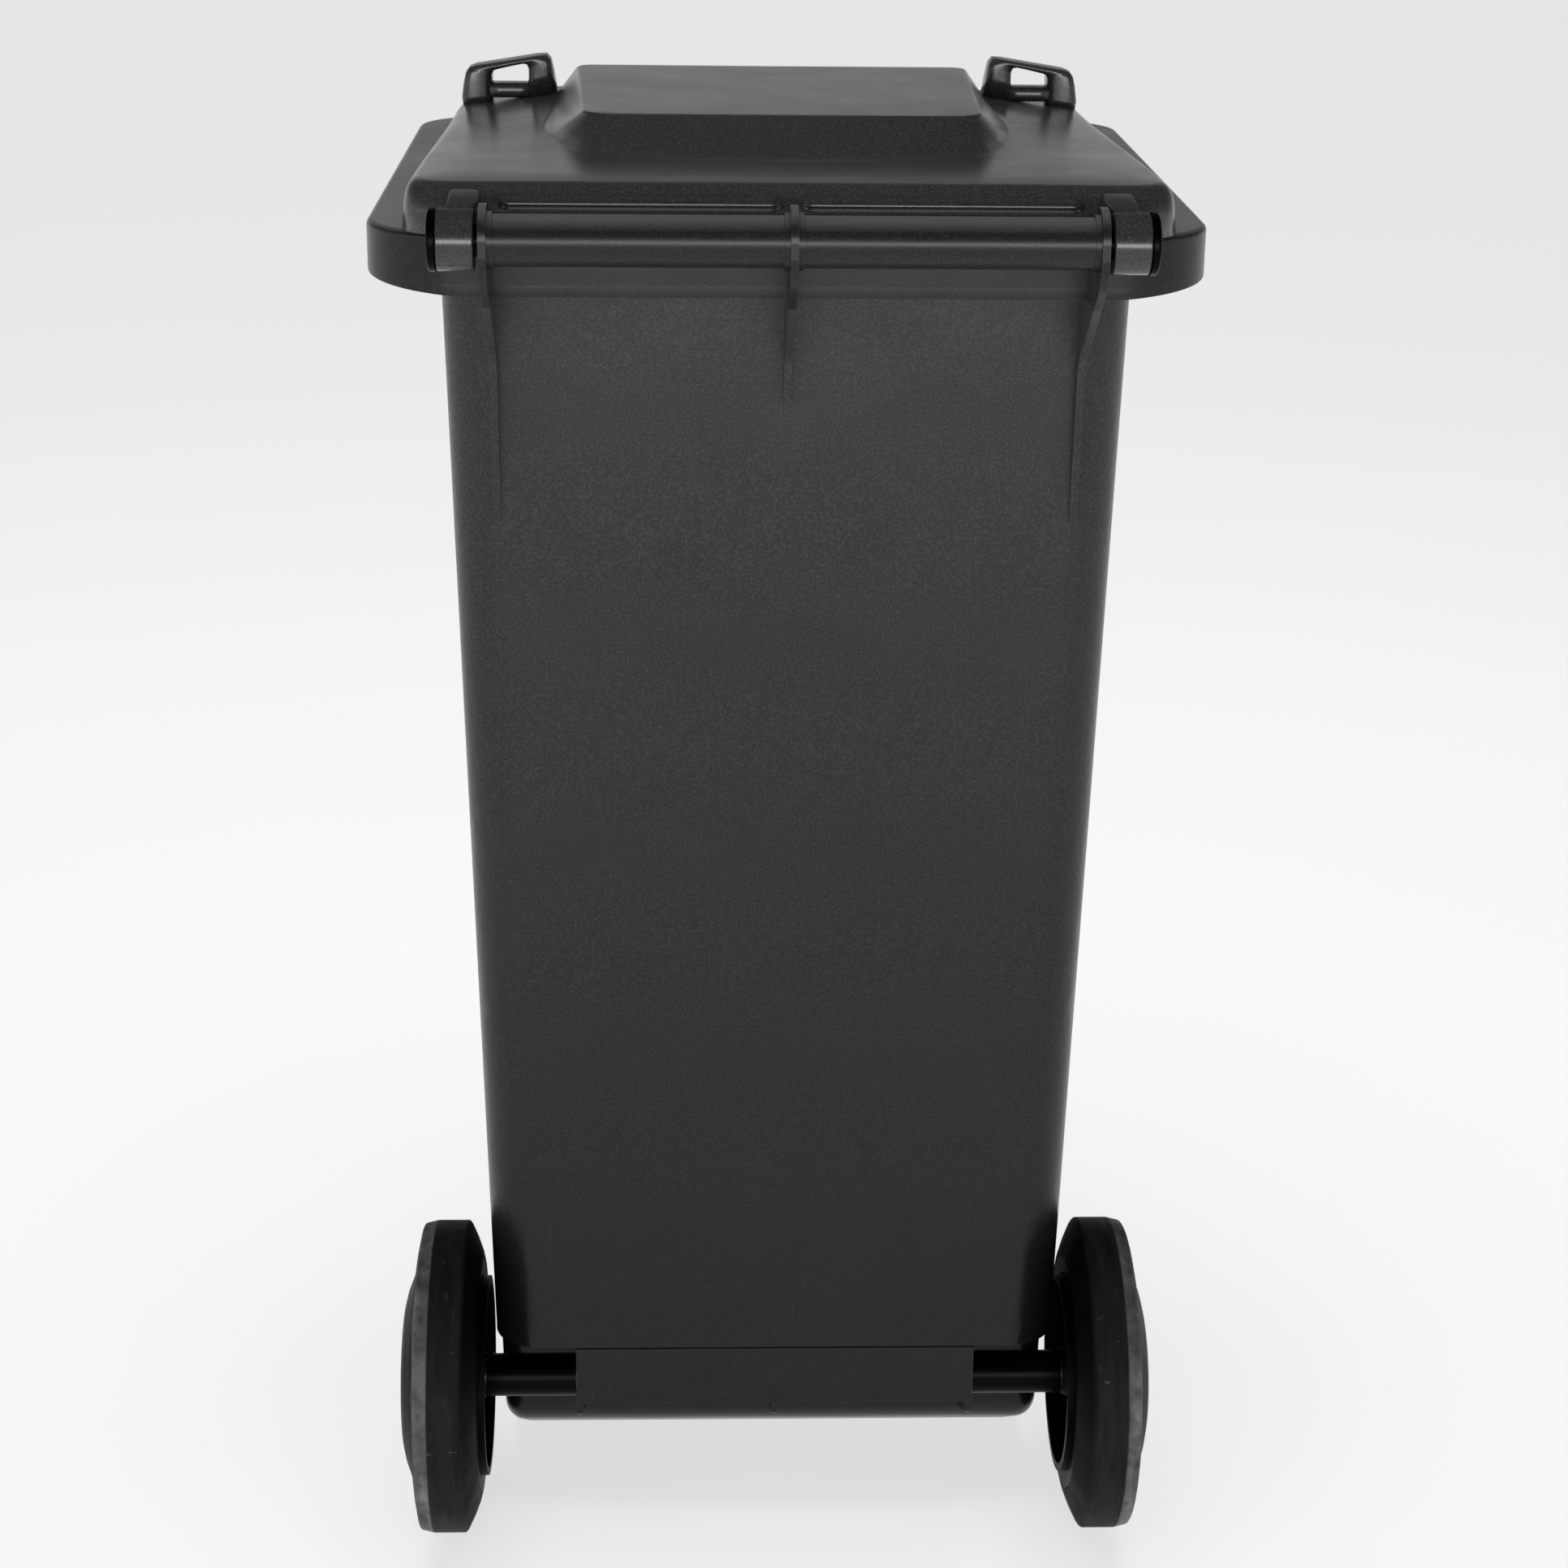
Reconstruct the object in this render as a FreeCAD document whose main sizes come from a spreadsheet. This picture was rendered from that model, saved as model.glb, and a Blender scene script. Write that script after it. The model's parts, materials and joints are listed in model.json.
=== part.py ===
import FreeCAD, Part
import math
import os
import re

import Sketcher

# A two-wheeled wheelie bin of 120 litres, in millimetres.
# +Z is up and the bin stands on z = 0. The handle and the wheels are on the -Y side, +X is to the right
# of someone who stands behind the handle, and the origin is under the middle of the whole bin.

# Driving dimensions: alias, value, meaning. Angles are in degrees.
SIZES = [
    ("skin", 4, "wall thickness of the tub and the collar"),
    ("rim_top", 865, "height of the collar's top"),
    ("rim_drop", 29, "height of the collar's hanging edge"),
    ("rim_half", 243, "half the collar's width"),
    ("rim_rear", 217.5, "collar's rear face, behind the origin"),
    ("rim_front", 277.5, "collar's front face, ahead of the origin"),
    ("rim_rear_round", 58, "plan radius of the collar's rear corners"),
    ("rim_front_round", 50, "plan radius of the collar's front corners"),
    ("tub_top_half", 202.5, "half the tub's width at the collar"),
    ("tub_foot_half", 179.5, "half the tub's width at the ground"),
    ("tub_top_rear", 184, "rear wall at the collar, behind the origin"),
    ("tub_foot_rear", 175, "rear wall at the ground, behind the origin"),
    ("tub_top_front", 238, "front wall at the collar, ahead of the origin"),
    ("tub_foot_front", 150, "front wall at the ground, ahead of the origin"),
    ("tub_round", 30, "plan radius of the tub's corners"),
    ("axle_rear", 155.5, "axle, behind the origin"),
    ("axle_up", 101.5, "height of the axle"),
    ("axle_radius", 10, "radius of the steel rod"),
    ("axle_half", 239.5, "half the rod's length"),
    ("recess_top", 133, "ceiling of the axle recess"),
    ("recess_rear", 118, "front wall of the axle recess, behind the origin"),
    ("heel_up", 45, "height at which the sloping heel starts"),
    ("heel_slope", 32, "slope of the heel under the tub"),
    ("heel_round", 26, "radius at the top of the heel"),
    ("housing_half", 130, "half the width of the axle housing"),
    ("housing_rear", 176.3, "rear panel of the axle housing, behind the origin"),
    ("housing_foot", 91, "lower edge of the axle housing's panel"),
    ("housing_seam", 1.5, "height of the groove between the rear wall and the panel"),
    ("housing_plates", 3, "number of plates that carry the rod"),
    ("tube_rear", 260.1, "handle tube and hinge axis, behind the origin"),
    ("tube_up", 868.8, "height of the handle tube and hinge axis"),
    ("tube_radius", 14.4, "outer radius of the handle tube"),
    ("tube_bore", 9, "inner radius of the handle tube"),
    ("gusset_out", 170, "outer gussets, from the middle"),
    ("gusset_thick", 4.4, "thickness of a gusset"),
    ("gusset_lobe", 17.4, "how far a gusset reaches behind the tube's axis"),
    ("gusset_crest", 19.2, "how far a gusset rises above the tube's axis"),
    ("gusset_foot", 766, "height at which a gusset leaves the rear wall"),
    ("gusset_foot_round", 40, "radius where a gusset leaves the rear wall"),
    ("gusset_chin_round", 24, "radius of a gusset's corner under the tube"),
    ("gusset_brow_round", 12, "radius of a gusset's corner above and ahead of the tube"),
    ("gusset_rim_round", 6, "radius where a gusset meets the collar"),
    ("stem_foot", 690, "lower end of the outer gussets' stems"),
    ("rim_edge_round", 3.5, "radius of the collar's upper edge"),
    ("heel_edge_round", 14, "radius of the heel's edges along the tub's sides"),
    ("tube_ring", 1.3, "how far the rings beside the gussets stand off the tube"),
    ("tube_ring_long", 3, "length of those rings"),
    ("comb_ribs", 11, "number of ribs under the collar's front"),
    ("comb_pitch", 32, "distance between those ribs"),
    ("comb_drop", 11, "height of those ribs"),
    ("nest_radius", 14, "outer radius of the chip nest"),
    ("nest_bore", 11, "inner radius of the chip nest"),
    ("nest_depth", 18, "depth of the chip nest"),
    ("lid_skin", 3.2, "wall thickness of the lid"),
    ("lid_foot", 865.5, "lower edge of the lid"),
    ("lid_half", 219, "half the lid's width at its lower edge"),
    ("lid_draft", 6, "how far the lid's sides lean in"),
    ("lid_rear", 228, "lid's rear face, behind the origin"),
    ("lid_front", 268, "lid's front face, ahead of the origin"),
    ("lid_top", 893, "top of the lid at its rear"),
    ("lid_front_mid", 890, "top of the lid beside the crown at its front"),
    ("lid_front_side", 880, "top of the lid's sides at its front"),
    ("lid_rear_round", 24, "plan radius of the lid's rear corners"),
    ("lid_front_round", 40, "plan radius of the lid's front corners"),
    ("crown_top", 911.5, "top of the raised crown"),
    ("crown_half", 143, "half the crown's width at its foot"),
    ("crown_rear", 122, "crown's rear foot, behind the origin"),
    ("crown_front", 232, "crown's front foot, ahead of the origin"),
    ("crown_foot_round", 80, "plan radius of the crown's rear foot"),
    ("crown_round", 20, "plan radius of the crown's other corners"),
    ("crown_top_half", 122, "half the width of the crown's flat top"),
    ("crown_top_rear", 60, "rear of the crown's flat top, behind the origin"),
    ("crown_top_front", 190, "front of the crown's flat top, ahead of the origin"),
    ("grip_outer", 212, "outer foot of a grip, from the middle"),
    ("grip_inner", 145, "inner foot of a grip, from the middle"),
    ("grip_lean", 6, "how far a grip's legs lean towards each other"),
    ("grip_leg", 18, "width of a grip's leg"),
    ("grip_rear", 208, "rear face of a grip, ahead of the origin"),
    ("grip_deep", 26, "depth of a grip"),
    ("grip_outer_top", 906.5, "top of a grip at its outer end"),
    ("grip_inner_top", 916, "top of a grip at its inner end"),
    ("grip_bar", 4, "thickness of a grip's bar"),
    ("grip_round", 4, "radius of a grip's upper corners"),
    ("grip_sill", 896, "lower edge of a grip's finger hole"),
    ("knuckle_in", 174.2, "inner end of a hinge knuckle, from the middle"),
    ("knuckle_long", 21.3, "length of a hinge knuckle"),
    ("knuckle_radius", 17, "outer radius of a hinge knuckle"),
    ("knuckle_play", 0.05, "radial clearance of the pin in the knuckle"),
    ("arm_width", 15.5, "width of a hinge arm"),
    ("pin_press", 0.05, "radial interference of the pin in the tube"),
    ("pin_reach", 32, "length of the pin inside the tube"),
    ("pin_head", 17.3, "radius of the pin's head"),
    ("pin_end", 200.3, "outer end of the pin's head, from the middle"),
    ("head_round", 2, "radius of the pin head's edge"),
    ("turned_edge", 1, "chamfer on the edges of turned pieces"),
    ("side_gap", 0.5, "gap between neighbours along an axis"),
    ("wheel_radius", 101.5, "radius of the tyre's tread"),
    ("tread_in", 200.5, "inner edge of the tread, from the middle"),
    ("tread_out", 230.5, "outer edge of the tread, from the middle"),
    ("tread_edge", 1.5, "chamfer along the tread's inner edge"),
    ("tread_bevel", 8, "width of the bevel along the tread's outer edge"),
    ("tread_drop", 2, "height of that bevel"),
    ("rim_seat", 76, "radius at which the tyre sits on the hub"),
    ("wall_in", 192, "inner side of the tyre at its seat, from the middle"),
    ("wall_out", 234, "outer side of the tyre at its seat, from the middle"),
    ("felloe", 5, "thickness of the hub's ring under the tyre"),
    ("lip_in", 187.5, "inner end of the hub's lip, from the middle"),
    ("lip_radius", 60, "inner radius of the hub's lip"),
    ("web_in", 209, "inner side of the hub's web, from the middle"),
    ("web_thick", 5, "thickness of the hub's web"),
    ("boss_in", 190, "inner end of the hub's boss, from the middle"),
    ("boss_radius", 19, "outer radius of the hub's boss at the web"),
    ("boss_tip", 14.5, "outer radius of the hub's boss at its inner end"),
    ("web_round", 4, "radius along the hub's web"),
    ("hub_ribs", 8, "number of ribs on the hub's inner side"),
    ("bush_radius", 13, "outer radius of the bush"),
    ("axle_play", 0.05, "radial clearance of the bush on the rod"),
    ("sleeve_radius", 14, "outer radius of a spacer sleeve"),
    ("sleeve_play", 0.1, "radial clearance of a sleeve on the rod"),
    ("washer_radius", 17, "outer radius of the thrust washer"),
    ("washer_thick", 1.5, "thickness of the thrust washer"),
    ("lock_radius", 15, "outer radius of the lock ring"),
    ("lock_thick", 2.5, "thickness of the lock ring"),
    ("cap_out", 242.5, "outer face of the hub cap, from the middle"),
    ("cap_flat", 48, "radius of the hub cap's flat middle"),
    ("cap_thick", 2.5, "wall thickness of the hub cap"),
    ("cap_skirt", 8, "depth of the hub cap's skirt inside the hub's ring"),
    ("cap_shoulder", 10, "width of the bevel round the hub cap's flat"),
    ("cap_dip", 2.5, "height of that bevel"),
    ("cap_flat_round", 20, "radius along the bevel's inner edge"),
    ("cap_shoulder_round", 12, "radius along the bevel's outer edge"),
    ("plug_flange", 2, "thickness of the plug's flange"),
]
ALIASES = {alias for alias, value, meaning in SIZES}

doc = FreeCAD.newDocument("wheelie_bin")
sheet = doc.addObject("Spreadsheet::Sheet", "sizes")
for row, (alias, value, meaning) in enumerate(SIZES, start=1):
    sheet.set(f"A{row}", meaning)
    sheet.set(f"B{row}", str(value))
    sheet.setAlias(f"B{row}", alias)
doc.recompute()


# ---------------------------------------------------------------- helpers

def bound(formula):
    """The formula, with each alias pointing at its cell of the sheet."""
    def point_at_cell(word):
        return f"sizes.{word.group()}" if word.group() in ALIASES else word.group()

    return re.sub(r"[a-z_]+", point_at_cell, formula)


def number(formula):
    """The present value of a formula."""
    return float(sheet.evalExpression(formula))


def bind(target, **formulas):
    """Tie properties of an object to formulas."""
    for name, formula in formulas.items():
        target.setExpression(name, bound(formula))


def new_body(label):
    body = doc.addObject("PartDesign::Body", label)
    body.Label = label
    return body


def origin_part(body, role):
    """One of the body's own origin planes or axes."""
    return next(item for item in body.Origin.OriginFeatures if item.Role == role)


def new_sketch(body, name, plane, offset="0"):
    """A sketch on an origin plane, moved along the plane's normal by the offset."""
    sketch = body.newObject("Sketcher::SketchObject", name)
    sketch.AttachmentSupport = [(origin_part(body, plane), "")]
    sketch.MapMode = "FlatFace"
    sketch.setExpression("AttachmentOffset.Base.z", bound(offset))
    return sketch


def constrain(sketch, formula, *constraint):
    """Add a dimension to the sketch and tie it to a formula."""
    index = sketch.addConstraint(Sketcher.Constraint(*constraint, number(formula)))
    sketch.setExpression(f"Constraints[{index}]", bound(formula))


def place_point(sketch, geometry, end, corner):
    """Dimension a point of the sketch from the sketch's origin."""
    constrain(sketch, corner[0], "DistanceX", -1, 1, geometry, end)
    constrain(sketch, corner[1], "DistanceY", -1, 1, geometry, end)


def round_corner(sketch, arriving, leaving, entry, exit, corner):
    """Join two sides with a tangent arc, and dimension the corner that the arc replaces."""
    tip = FreeCAD.Vector(number(corner[0]), number(corner[1]), 0)
    inward = ((entry - tip) + (exit - tip)).normalize()
    radius = number(corner[2])
    half_angle = inward.getAngle(entry - tip)
    middle = tip + inward * (radius / math.sin(half_angle) - radius)
    arc = sketch.addGeometry(Part.Arc(entry, middle, exit), False)
    start, end = sketch.getPoint(arc, 1), sketch.getPoint(arc, 2)
    starts_at_entry = start.distanceToPoint(entry) < end.distanceToPoint(entry)
    first, last = (1, 2) if starts_at_entry else (2, 1)
    sketch.addConstraint(Sketcher.Constraint("Tangent", arriving, 2, arc, first))
    sketch.addConstraint(Sketcher.Constraint("Tangent", arc, last, leaving, 1))
    constrain(sketch, corner[2], "Radius", arc)
    point = sketch.addGeometry(Part.Point(tip), True)
    sketch.addConstraint(Sketcher.Constraint("PointOnObject", point, 1, arriving))
    sketch.addConstraint(Sketcher.Constraint("PointOnObject", point, 1, leaving))
    place_point(sketch, point, 1, corner)


def outline(sketch, corners):
    """Draw a closed outline. A corner is (x, y), or (x, y, radius) where it is rounded."""
    tips = [FreeCAD.Vector(number(corner[0]), number(corner[1]), 0) for corner in corners]
    entries = []
    exits = []
    for index, tip in enumerate(tips):
        back = (tips[index - 1] - tip).normalize()
        ahead = (tips[(index + 1) % len(tips)] - tip).normalize()
        radius = number(corners[index][2]) if len(corners[index]) == 3 else 0
        reach = radius / math.tan(back.getAngle(ahead) / 2)
        entries.append(tip + back * reach)
        exits.append(tip + ahead * reach)
    sides = [
        sketch.addGeometry(Part.LineSegment(exits[index - 1], entries[index]), False)
        for index in range(len(tips))
    ]
    for index, corner in enumerate(corners):
        arriving = sides[index]
        leaving = sides[(index + 1) % len(sides)]
        if len(corner) == 3:
            round_corner(sketch, arriving, leaving, entries[index], exits[index], corner)
        else:
            sketch.addConstraint(Sketcher.Constraint("Coincident", arriving, 2, leaving, 1))
            place_point(sketch, arriving, 2, corner)


def circle(sketch, x, y, radius):
    centre = FreeCAD.Vector(number(x), number(y), 0)
    ring = sketch.addGeometry(Part.Circle(centre, FreeCAD.Vector(0, 0, 1), number(radius)), False)
    place_point(sketch, ring, 3, (x, y))
    constrain(sketch, radius, "Radius", ring)


def rectangle(half, rear, front, rear_round, front_round):
    """Corners of a rounded rectangle, symmetric about the sketch's vertical axis."""
    return [
        (f"-({half})", rear, rear_round),
        (half, rear, rear_round),
        (half, front, front_round),
        (f"-({half})", front, front_round),
    ]


def extrude(body, kind, name, sketch, length, symmetric=False, reverse=False):
    """Pad or pocket a sketch. A pocket has to change the volume, or it points the wrong way."""
    before = body.Shape.Volume if kind == "Pocket" else 0
    feature = body.newObject(f"PartDesign::{kind}", name)
    feature.Profile = sketch
    bind(feature, Length=length)
    feature.SideType = "Symmetric" if symmetric else "One side"
    feature.Reversed = reverse
    doc.recompute()
    if kind == "Pocket" and feature.Shape.Volume > before - 1:
        raise RuntimeError(f"{name} cuts nothing")
    return feature


def loft(body, kind, name, first, second):
    feature = body.newObject(f"PartDesign::{kind}Loft", name)
    feature.Profile = first
    feature.Sections = [second]
    feature.Ruled = True
    doc.recompute()
    return feature


def revolve(body, name, sketch):
    """Turn a sketch about the body's X axis."""
    feature = body.newObject("PartDesign::Revolution", name)
    feature.Profile = sketch
    feature.ReferenceAxis = (sketch, ["H_Axis"])
    feature.Angle = 360
    doc.recompute()
    return feature


def row_of(body, name, feature, axis, length, count):
    """Repeat a feature along an origin axis, over a length."""
    pattern = body.newObject("PartDesign::LinearPattern", name)
    pattern.Originals = [feature]
    pattern.Direction = (origin_part(body, axis), [""])
    bind(pattern, Length=length, Occurrences=count)
    body.Tip = pattern
    doc.recompute()
    return pattern


def fillet_edges(body, name, radius, wanted):
    """Round the edges of the body's present shape that the test picks out."""
    solid = body.Tip
    edges = [f"Edge{index}" for index, edge in enumerate(solid.Shape.Edges, start=1) if wanted(edge)]
    fillet = body.newObject("PartDesign::Fillet", name)
    fillet.Base = (solid, edges)
    bind(fillet, Radius=radius)
    body.Tip = fillet
    doc.recompute()


def turned_piece(label, corners):
    """A piece of revolution about X, drawn as (distance from the middle, radius)."""
    body = new_body(label)
    profile = new_sketch(body, f"{label}_profile", "XZ_Plane")
    outline(profile, corners)
    revolve(body, f"{label}_turned", profile)
    return body


def set_on_axis(piece, side, behind, up):
    """Put a piece drawn for the right side on an axis that runs along X, on the given side."""
    turn = 180 if side == "left" else 0
    piece.Placement = FreeCAD.Placement(
        FreeCAD.Vector(0, 0, 0), FreeCAD.Rotation(FreeCAD.Vector(0, 0, 1), turn))
    piece.setExpression("Placement.Base.y", bound(f"-{behind}"))
    piece.setExpression("Placement.Base.z", bound(up))


# ---------------------------------------------------------------- body shell

def tub_half(up):
    """Half the tub's width at a height."""
    return f"(tub_foot_half + (tub_top_half - tub_foot_half) * ({up}) / rim_top)"


def tub_rear(up):
    """Where the rear wall is at a height."""
    return f"(-tub_foot_rear - (tub_top_rear - tub_foot_rear) * ({up}) / rim_top)"


def tub_front(up):
    """Where the front wall is at a height."""
    return f"(tub_foot_front + (tub_top_front - tub_foot_front) * ({up}) / rim_top)"


def tub_plan(body, name, up, inset):
    """The tub's plan at a height, moved in by the inset."""
    sketch = new_sketch(body, name, "XY_Plane", up)
    radius = f"tub_round - {inset}"
    outline(sketch, rectangle(
        f"{tub_half(up)} - {inset}", f"{tub_rear(up)} + {inset}", f"{tub_front(up)} - {inset}",
        radius, radius))
    return sketch


def add_tub(body):
    foot = tub_plan(body, "foot_plan", "0", "0")
    mouth = tub_plan(body, "mouth_plan", "rim_top", "0")
    loft(body, "Additive", "tub", foot, mouth)


def add_collar(body):
    """The flat collar round the mouth, with a hanging edge and open underneath."""
    foot = "rim_top - rim_drop"
    plan = new_sketch(body, "collar_plan", "XY_Plane", foot)
    outline(plan, rectangle("rim_half", "-rim_rear", "rim_front", "rim_rear_round", "rim_front_round"))
    extrude(body, "Pad", "collar", plan, "rim_drop")
    channel = new_sketch(body, "channel_plan", "XY_Plane", foot)
    outline(channel, rectangle(
        "rim_half - skin", "-rim_rear + skin", "rim_front - skin",
        "rim_rear_round - skin", "rim_front_round - skin"))
    outline(channel, rectangle(tub_half(foot), tub_rear(foot), tub_front(foot), "tub_round", "tub_round"))
    extrude(body, "Pocket", "collar_channel", channel, "rim_drop - skin", reverse=True)


def on_collar_top(edge):
    """True of an edge on the collar's upper, outer outline."""
    middle = edge.CenterOfMass
    outside = (
        abs(middle.x) > number("tub_top_half + skin")
        or middle.y > number("tub_top_front + skin")
        or middle.y < number("-tub_top_rear - skin"))
    return outside and edge.BoundBox.ZMin > number("rim_top") - 0.01


def on_heel_side(edge):
    """True of an edge that runs down the heel along one side of the tub."""
    box = edge.BoundBox
    return (
        abs(edge.CenterOfMass.x) > number("tub_foot_half - 2 * skin")
        and box.ZLength > 1
        and box.ZMax < number("recess_top + 2 * skin"))


def cut_recess(body, grow):
    """Cut the step that makes room for the axle, over a sloping heel with rounded sides. The step is larger
    by the given growth on every side, and the rounding smaller."""
    profile = new_sketch(body, f"{body.Label}_recess_profile", "YZ_Plane")
    wall = f"-recess_rear + {grow}"
    outline(profile, [
        ("-2 * recess_rear", "-skin"),
        ("-2 * recess_rear", f"recess_top + {grow}"),
        (wall, f"recess_top + {grow}"),
        (wall, f"heel_up + {grow} / cos(heel_slope) - {grow} * tan(heel_slope)", f"heel_round - {grow}"),
        (f"-recess_rear + (heel_up + skin + {grow} / cos(heel_slope)) / tan(heel_slope)", "-skin"),
    ])
    extrude(body, "Pocket", f"{body.Label}_recess", profile, "2 * rim_half", symmetric=True)
    fillet_edges(body, f"{body.Label}_heel_sides", f"heel_edge_round - {grow}", on_heel_side)


def cut_cavity(body):
    """Hollow the tub, with the same wall thickness round the recess."""
    cavity = new_body("cavity")
    floor = tub_plan(cavity, "cavity_floor", "skin", "skin")
    mouth = tub_plan(cavity, "cavity_mouth", "rim_top", "skin")
    loft(cavity, "Additive", "cavity_loft", floor, mouth)
    cut_recess(cavity, "skin")
    cut = body.newObject("PartDesign::Boolean", "hollow")
    cut.Type = "Cut"
    cut.setObjects([cavity])
    doc.recompute()


def add_axle_housing(body):
    """A rear panel, flush with the rear wall under a groove, and a row of plates that carry the rod."""
    panel = new_sketch(body, "panel_profile", "YZ_Plane")
    outline(panel, [
        ("-housing_rear", "housing_foot"),
        ("-housing_rear", "recess_top - housing_seam"),
        ("-housing_rear + skin", "recess_top - housing_seam"),
        ("-housing_rear + skin", "recess_top + skin / 2"),
        ("-housing_rear + 2 * skin", "recess_top + skin / 2"),
        ("-housing_rear + 2 * skin", "recess_top - 2 * skin"),
        ("-housing_rear + skin", "recess_top - 2 * skin"),
        ("-housing_rear + skin", "housing_foot"),
    ])
    extrude(body, "Pad", "panel", panel, "2 * housing_half", symmetric=True)
    plate = new_sketch(body, "plate_profile", "YZ_Plane", "-housing_half")
    outline(plate, [
        ("-housing_rear", "housing_foot - 2 * skin", "skin"),
        ("-housing_rear", "recess_top - housing_seam"),
        ("-housing_rear + skin", "recess_top - housing_seam"),
        ("-housing_rear + skin", "recess_top + skin / 2"),
        ("-recess_rear + skin / 2", "recess_top + skin / 2"),
        ("-recess_rear + skin / 2", "heel_up + 2 * skin"),
    ])
    first = extrude(body, "Pad", "plate", plate, "skin")
    row_of(body, "plates", first, "X_Axis", "2 * housing_half - skin", "housing_plates")
    hole = new_sketch(body, "axle_hole_profile", "YZ_Plane")
    circle(hole, "-axle_rear", "axle_up", "axle_radius + axle_play")
    extrude(body, "Pocket", "axle_hole", hole, "2 * tub_foot_half", symmetric=True)


def add_gussets(body):
    """Three plates that carry the handle tube, two of them with a stem down the rear wall."""
    in_wall = "-tub_top_rear + skin / 2"
    lobe_rear = "-tube_rear - gusset_lobe"
    crest = "tube_up + gusset_crest"
    profile = new_sketch(body, "gusset_profile", "YZ_Plane", "-gusset_out - gusset_thick / 2")
    outline(profile, [
        (in_wall, "gusset_foot"),
        ("-tub_top_rear - skin / 2", "gusset_foot"),
        ("-tub_top_rear - skin / 2", "gusset_foot + 4 * skin", "gusset_foot_round"),
        (lobe_rear, "tube_up - gusset_crest", "gusset_chin_round"),
        (lobe_rear, crest, "gusset_lobe"),
        ("-tube_rear + gusset_lobe", crest, "gusset_brow_round"),
        ("-tube_rear + gusset_lobe", "rim_top - skin", "gusset_rim_round"),
        (in_wall, "rim_top - skin"),
    ])
    first = extrude(body, "Pad", "gusset", profile, "gusset_thick")
    row_of(body, "gussets", first, "X_Axis", "2 * gusset_out", "3")
    stem = new_sketch(body, "stem_profile", "YZ_Plane", "-gusset_out - gusset_thick / 2")
    outline(stem, [
        (in_wall, "stem_foot"),
        ("-tub_top_rear", "stem_foot"),
        ("-tub_top_rear - 2.5 * skin", "gusset_foot + 5 * skin"),
        (in_wall, "gusset_foot + 5 * skin"),
    ])
    first_stem = extrude(body, "Pad", "stem", stem, "gusset_thick")
    row_of(body, "stems", first_stem, "X_Axis", "2 * gusset_out", "2")


def add_handle(body):
    """The tube between the outer gussets, open at both ends for the hinge pins."""
    length = "2 * gusset_out + gusset_thick"
    tube = new_sketch(body, "tube_profile", "YZ_Plane")
    circle(tube, "-tube_rear", "tube_up", "tube_radius")
    extrude(body, "Pad", "tube", tube, length, symmetric=True)
    for name, start, ring_long in (
        ("left_ring", "-gusset_out - gusset_thick / 2", "gusset_thick + tube_ring_long"),
        ("middle_ring", "-gusset_thick / 2 - tube_ring_long", "gusset_thick + 2 * tube_ring_long"),
        ("right_ring", "gusset_out - gusset_thick / 2 - tube_ring_long", "gusset_thick + tube_ring_long"),
    ):
        ring = new_sketch(body, f"{name}_profile", "YZ_Plane", start)
        circle(ring, "-tube_rear", "tube_up", "tube_radius + tube_ring")
        extrude(body, "Pad", name, ring, ring_long)
    bore = new_sketch(body, "tube_bore_profile", "YZ_Plane")
    circle(bore, "-tube_rear", "tube_up", "tube_bore")
    extrude(body, "Pocket", "tube_bore", bore, length, symmetric=True)


def add_comb(body):
    """Ribs between the front wall and the collar's edge, which a lifting comb goes between."""
    rib = new_sketch(body, "comb_profile", "YZ_Plane", "-comb_pitch * (comb_ribs - 1) / 2 - skin / 4")
    outline(rib, [
        ("tub_top_front - skin / 2", "rim_top - skin / 2"),
        ("tub_top_front - skin / 2", "rim_top - skin - comb_drop"),
        ("rim_front - skin / 2", "rim_top - skin - comb_drop"),
        ("rim_front - skin / 2", "rim_top - skin / 2"),
    ])
    first = extrude(body, "Pad", "comb_rib", rib, "skin / 2")
    row_of(body, "comb", first, "X_Axis", "comb_pitch * (comb_ribs - 1)", "comb_ribs")


def add_chip_nest(body):
    """A blind cup under the collar's front, for a transponder."""
    middle = "(tub_top_front + rim_front) / 2 - skin / 2"
    cup = new_sketch(body, "nest_plan", "XY_Plane", "rim_top - skin / 2")
    circle(cup, "0", middle, "nest_radius")
    extrude(body, "Pad", "nest", cup, "nest_depth + skin / 2", reverse=True)
    bore = new_sketch(body, "nest_bore_plan", "XY_Plane", "rim_top - skin - nest_depth")
    circle(bore, "0", middle, "nest_bore")
    extrude(body, "Pocket", "nest_hole", bore, "nest_depth", reverse=True)


def make_body_shell():
    body = new_body("body_shell")
    add_tub(body)
    add_collar(body)
    fillet_edges(body, "collar_edge", "rim_edge_round", on_collar_top)
    cut_recess(body, "0")
    cut_cavity(body)
    add_axle_housing(body)
    add_gussets(body)
    add_handle(body)
    add_comb(body)
    add_chip_nest(body)
    return body


# ---------------------------------------------------------------- lid

def lid_plan(body, name, up, inset, lean):
    """The lid's plan at a height, moved in by the inset and by the lean of its sides."""
    sketch = new_sketch(body, name, "XY_Plane", up)
    move = f"{inset} + {lean}"
    outline(sketch, rectangle(
        f"lid_half - ({move})", f"-lid_rear + {move}", f"lid_front - ({move})",
        f"lid_rear_round - {inset}", f"lid_front_round - {inset}"))
    return sketch


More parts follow.
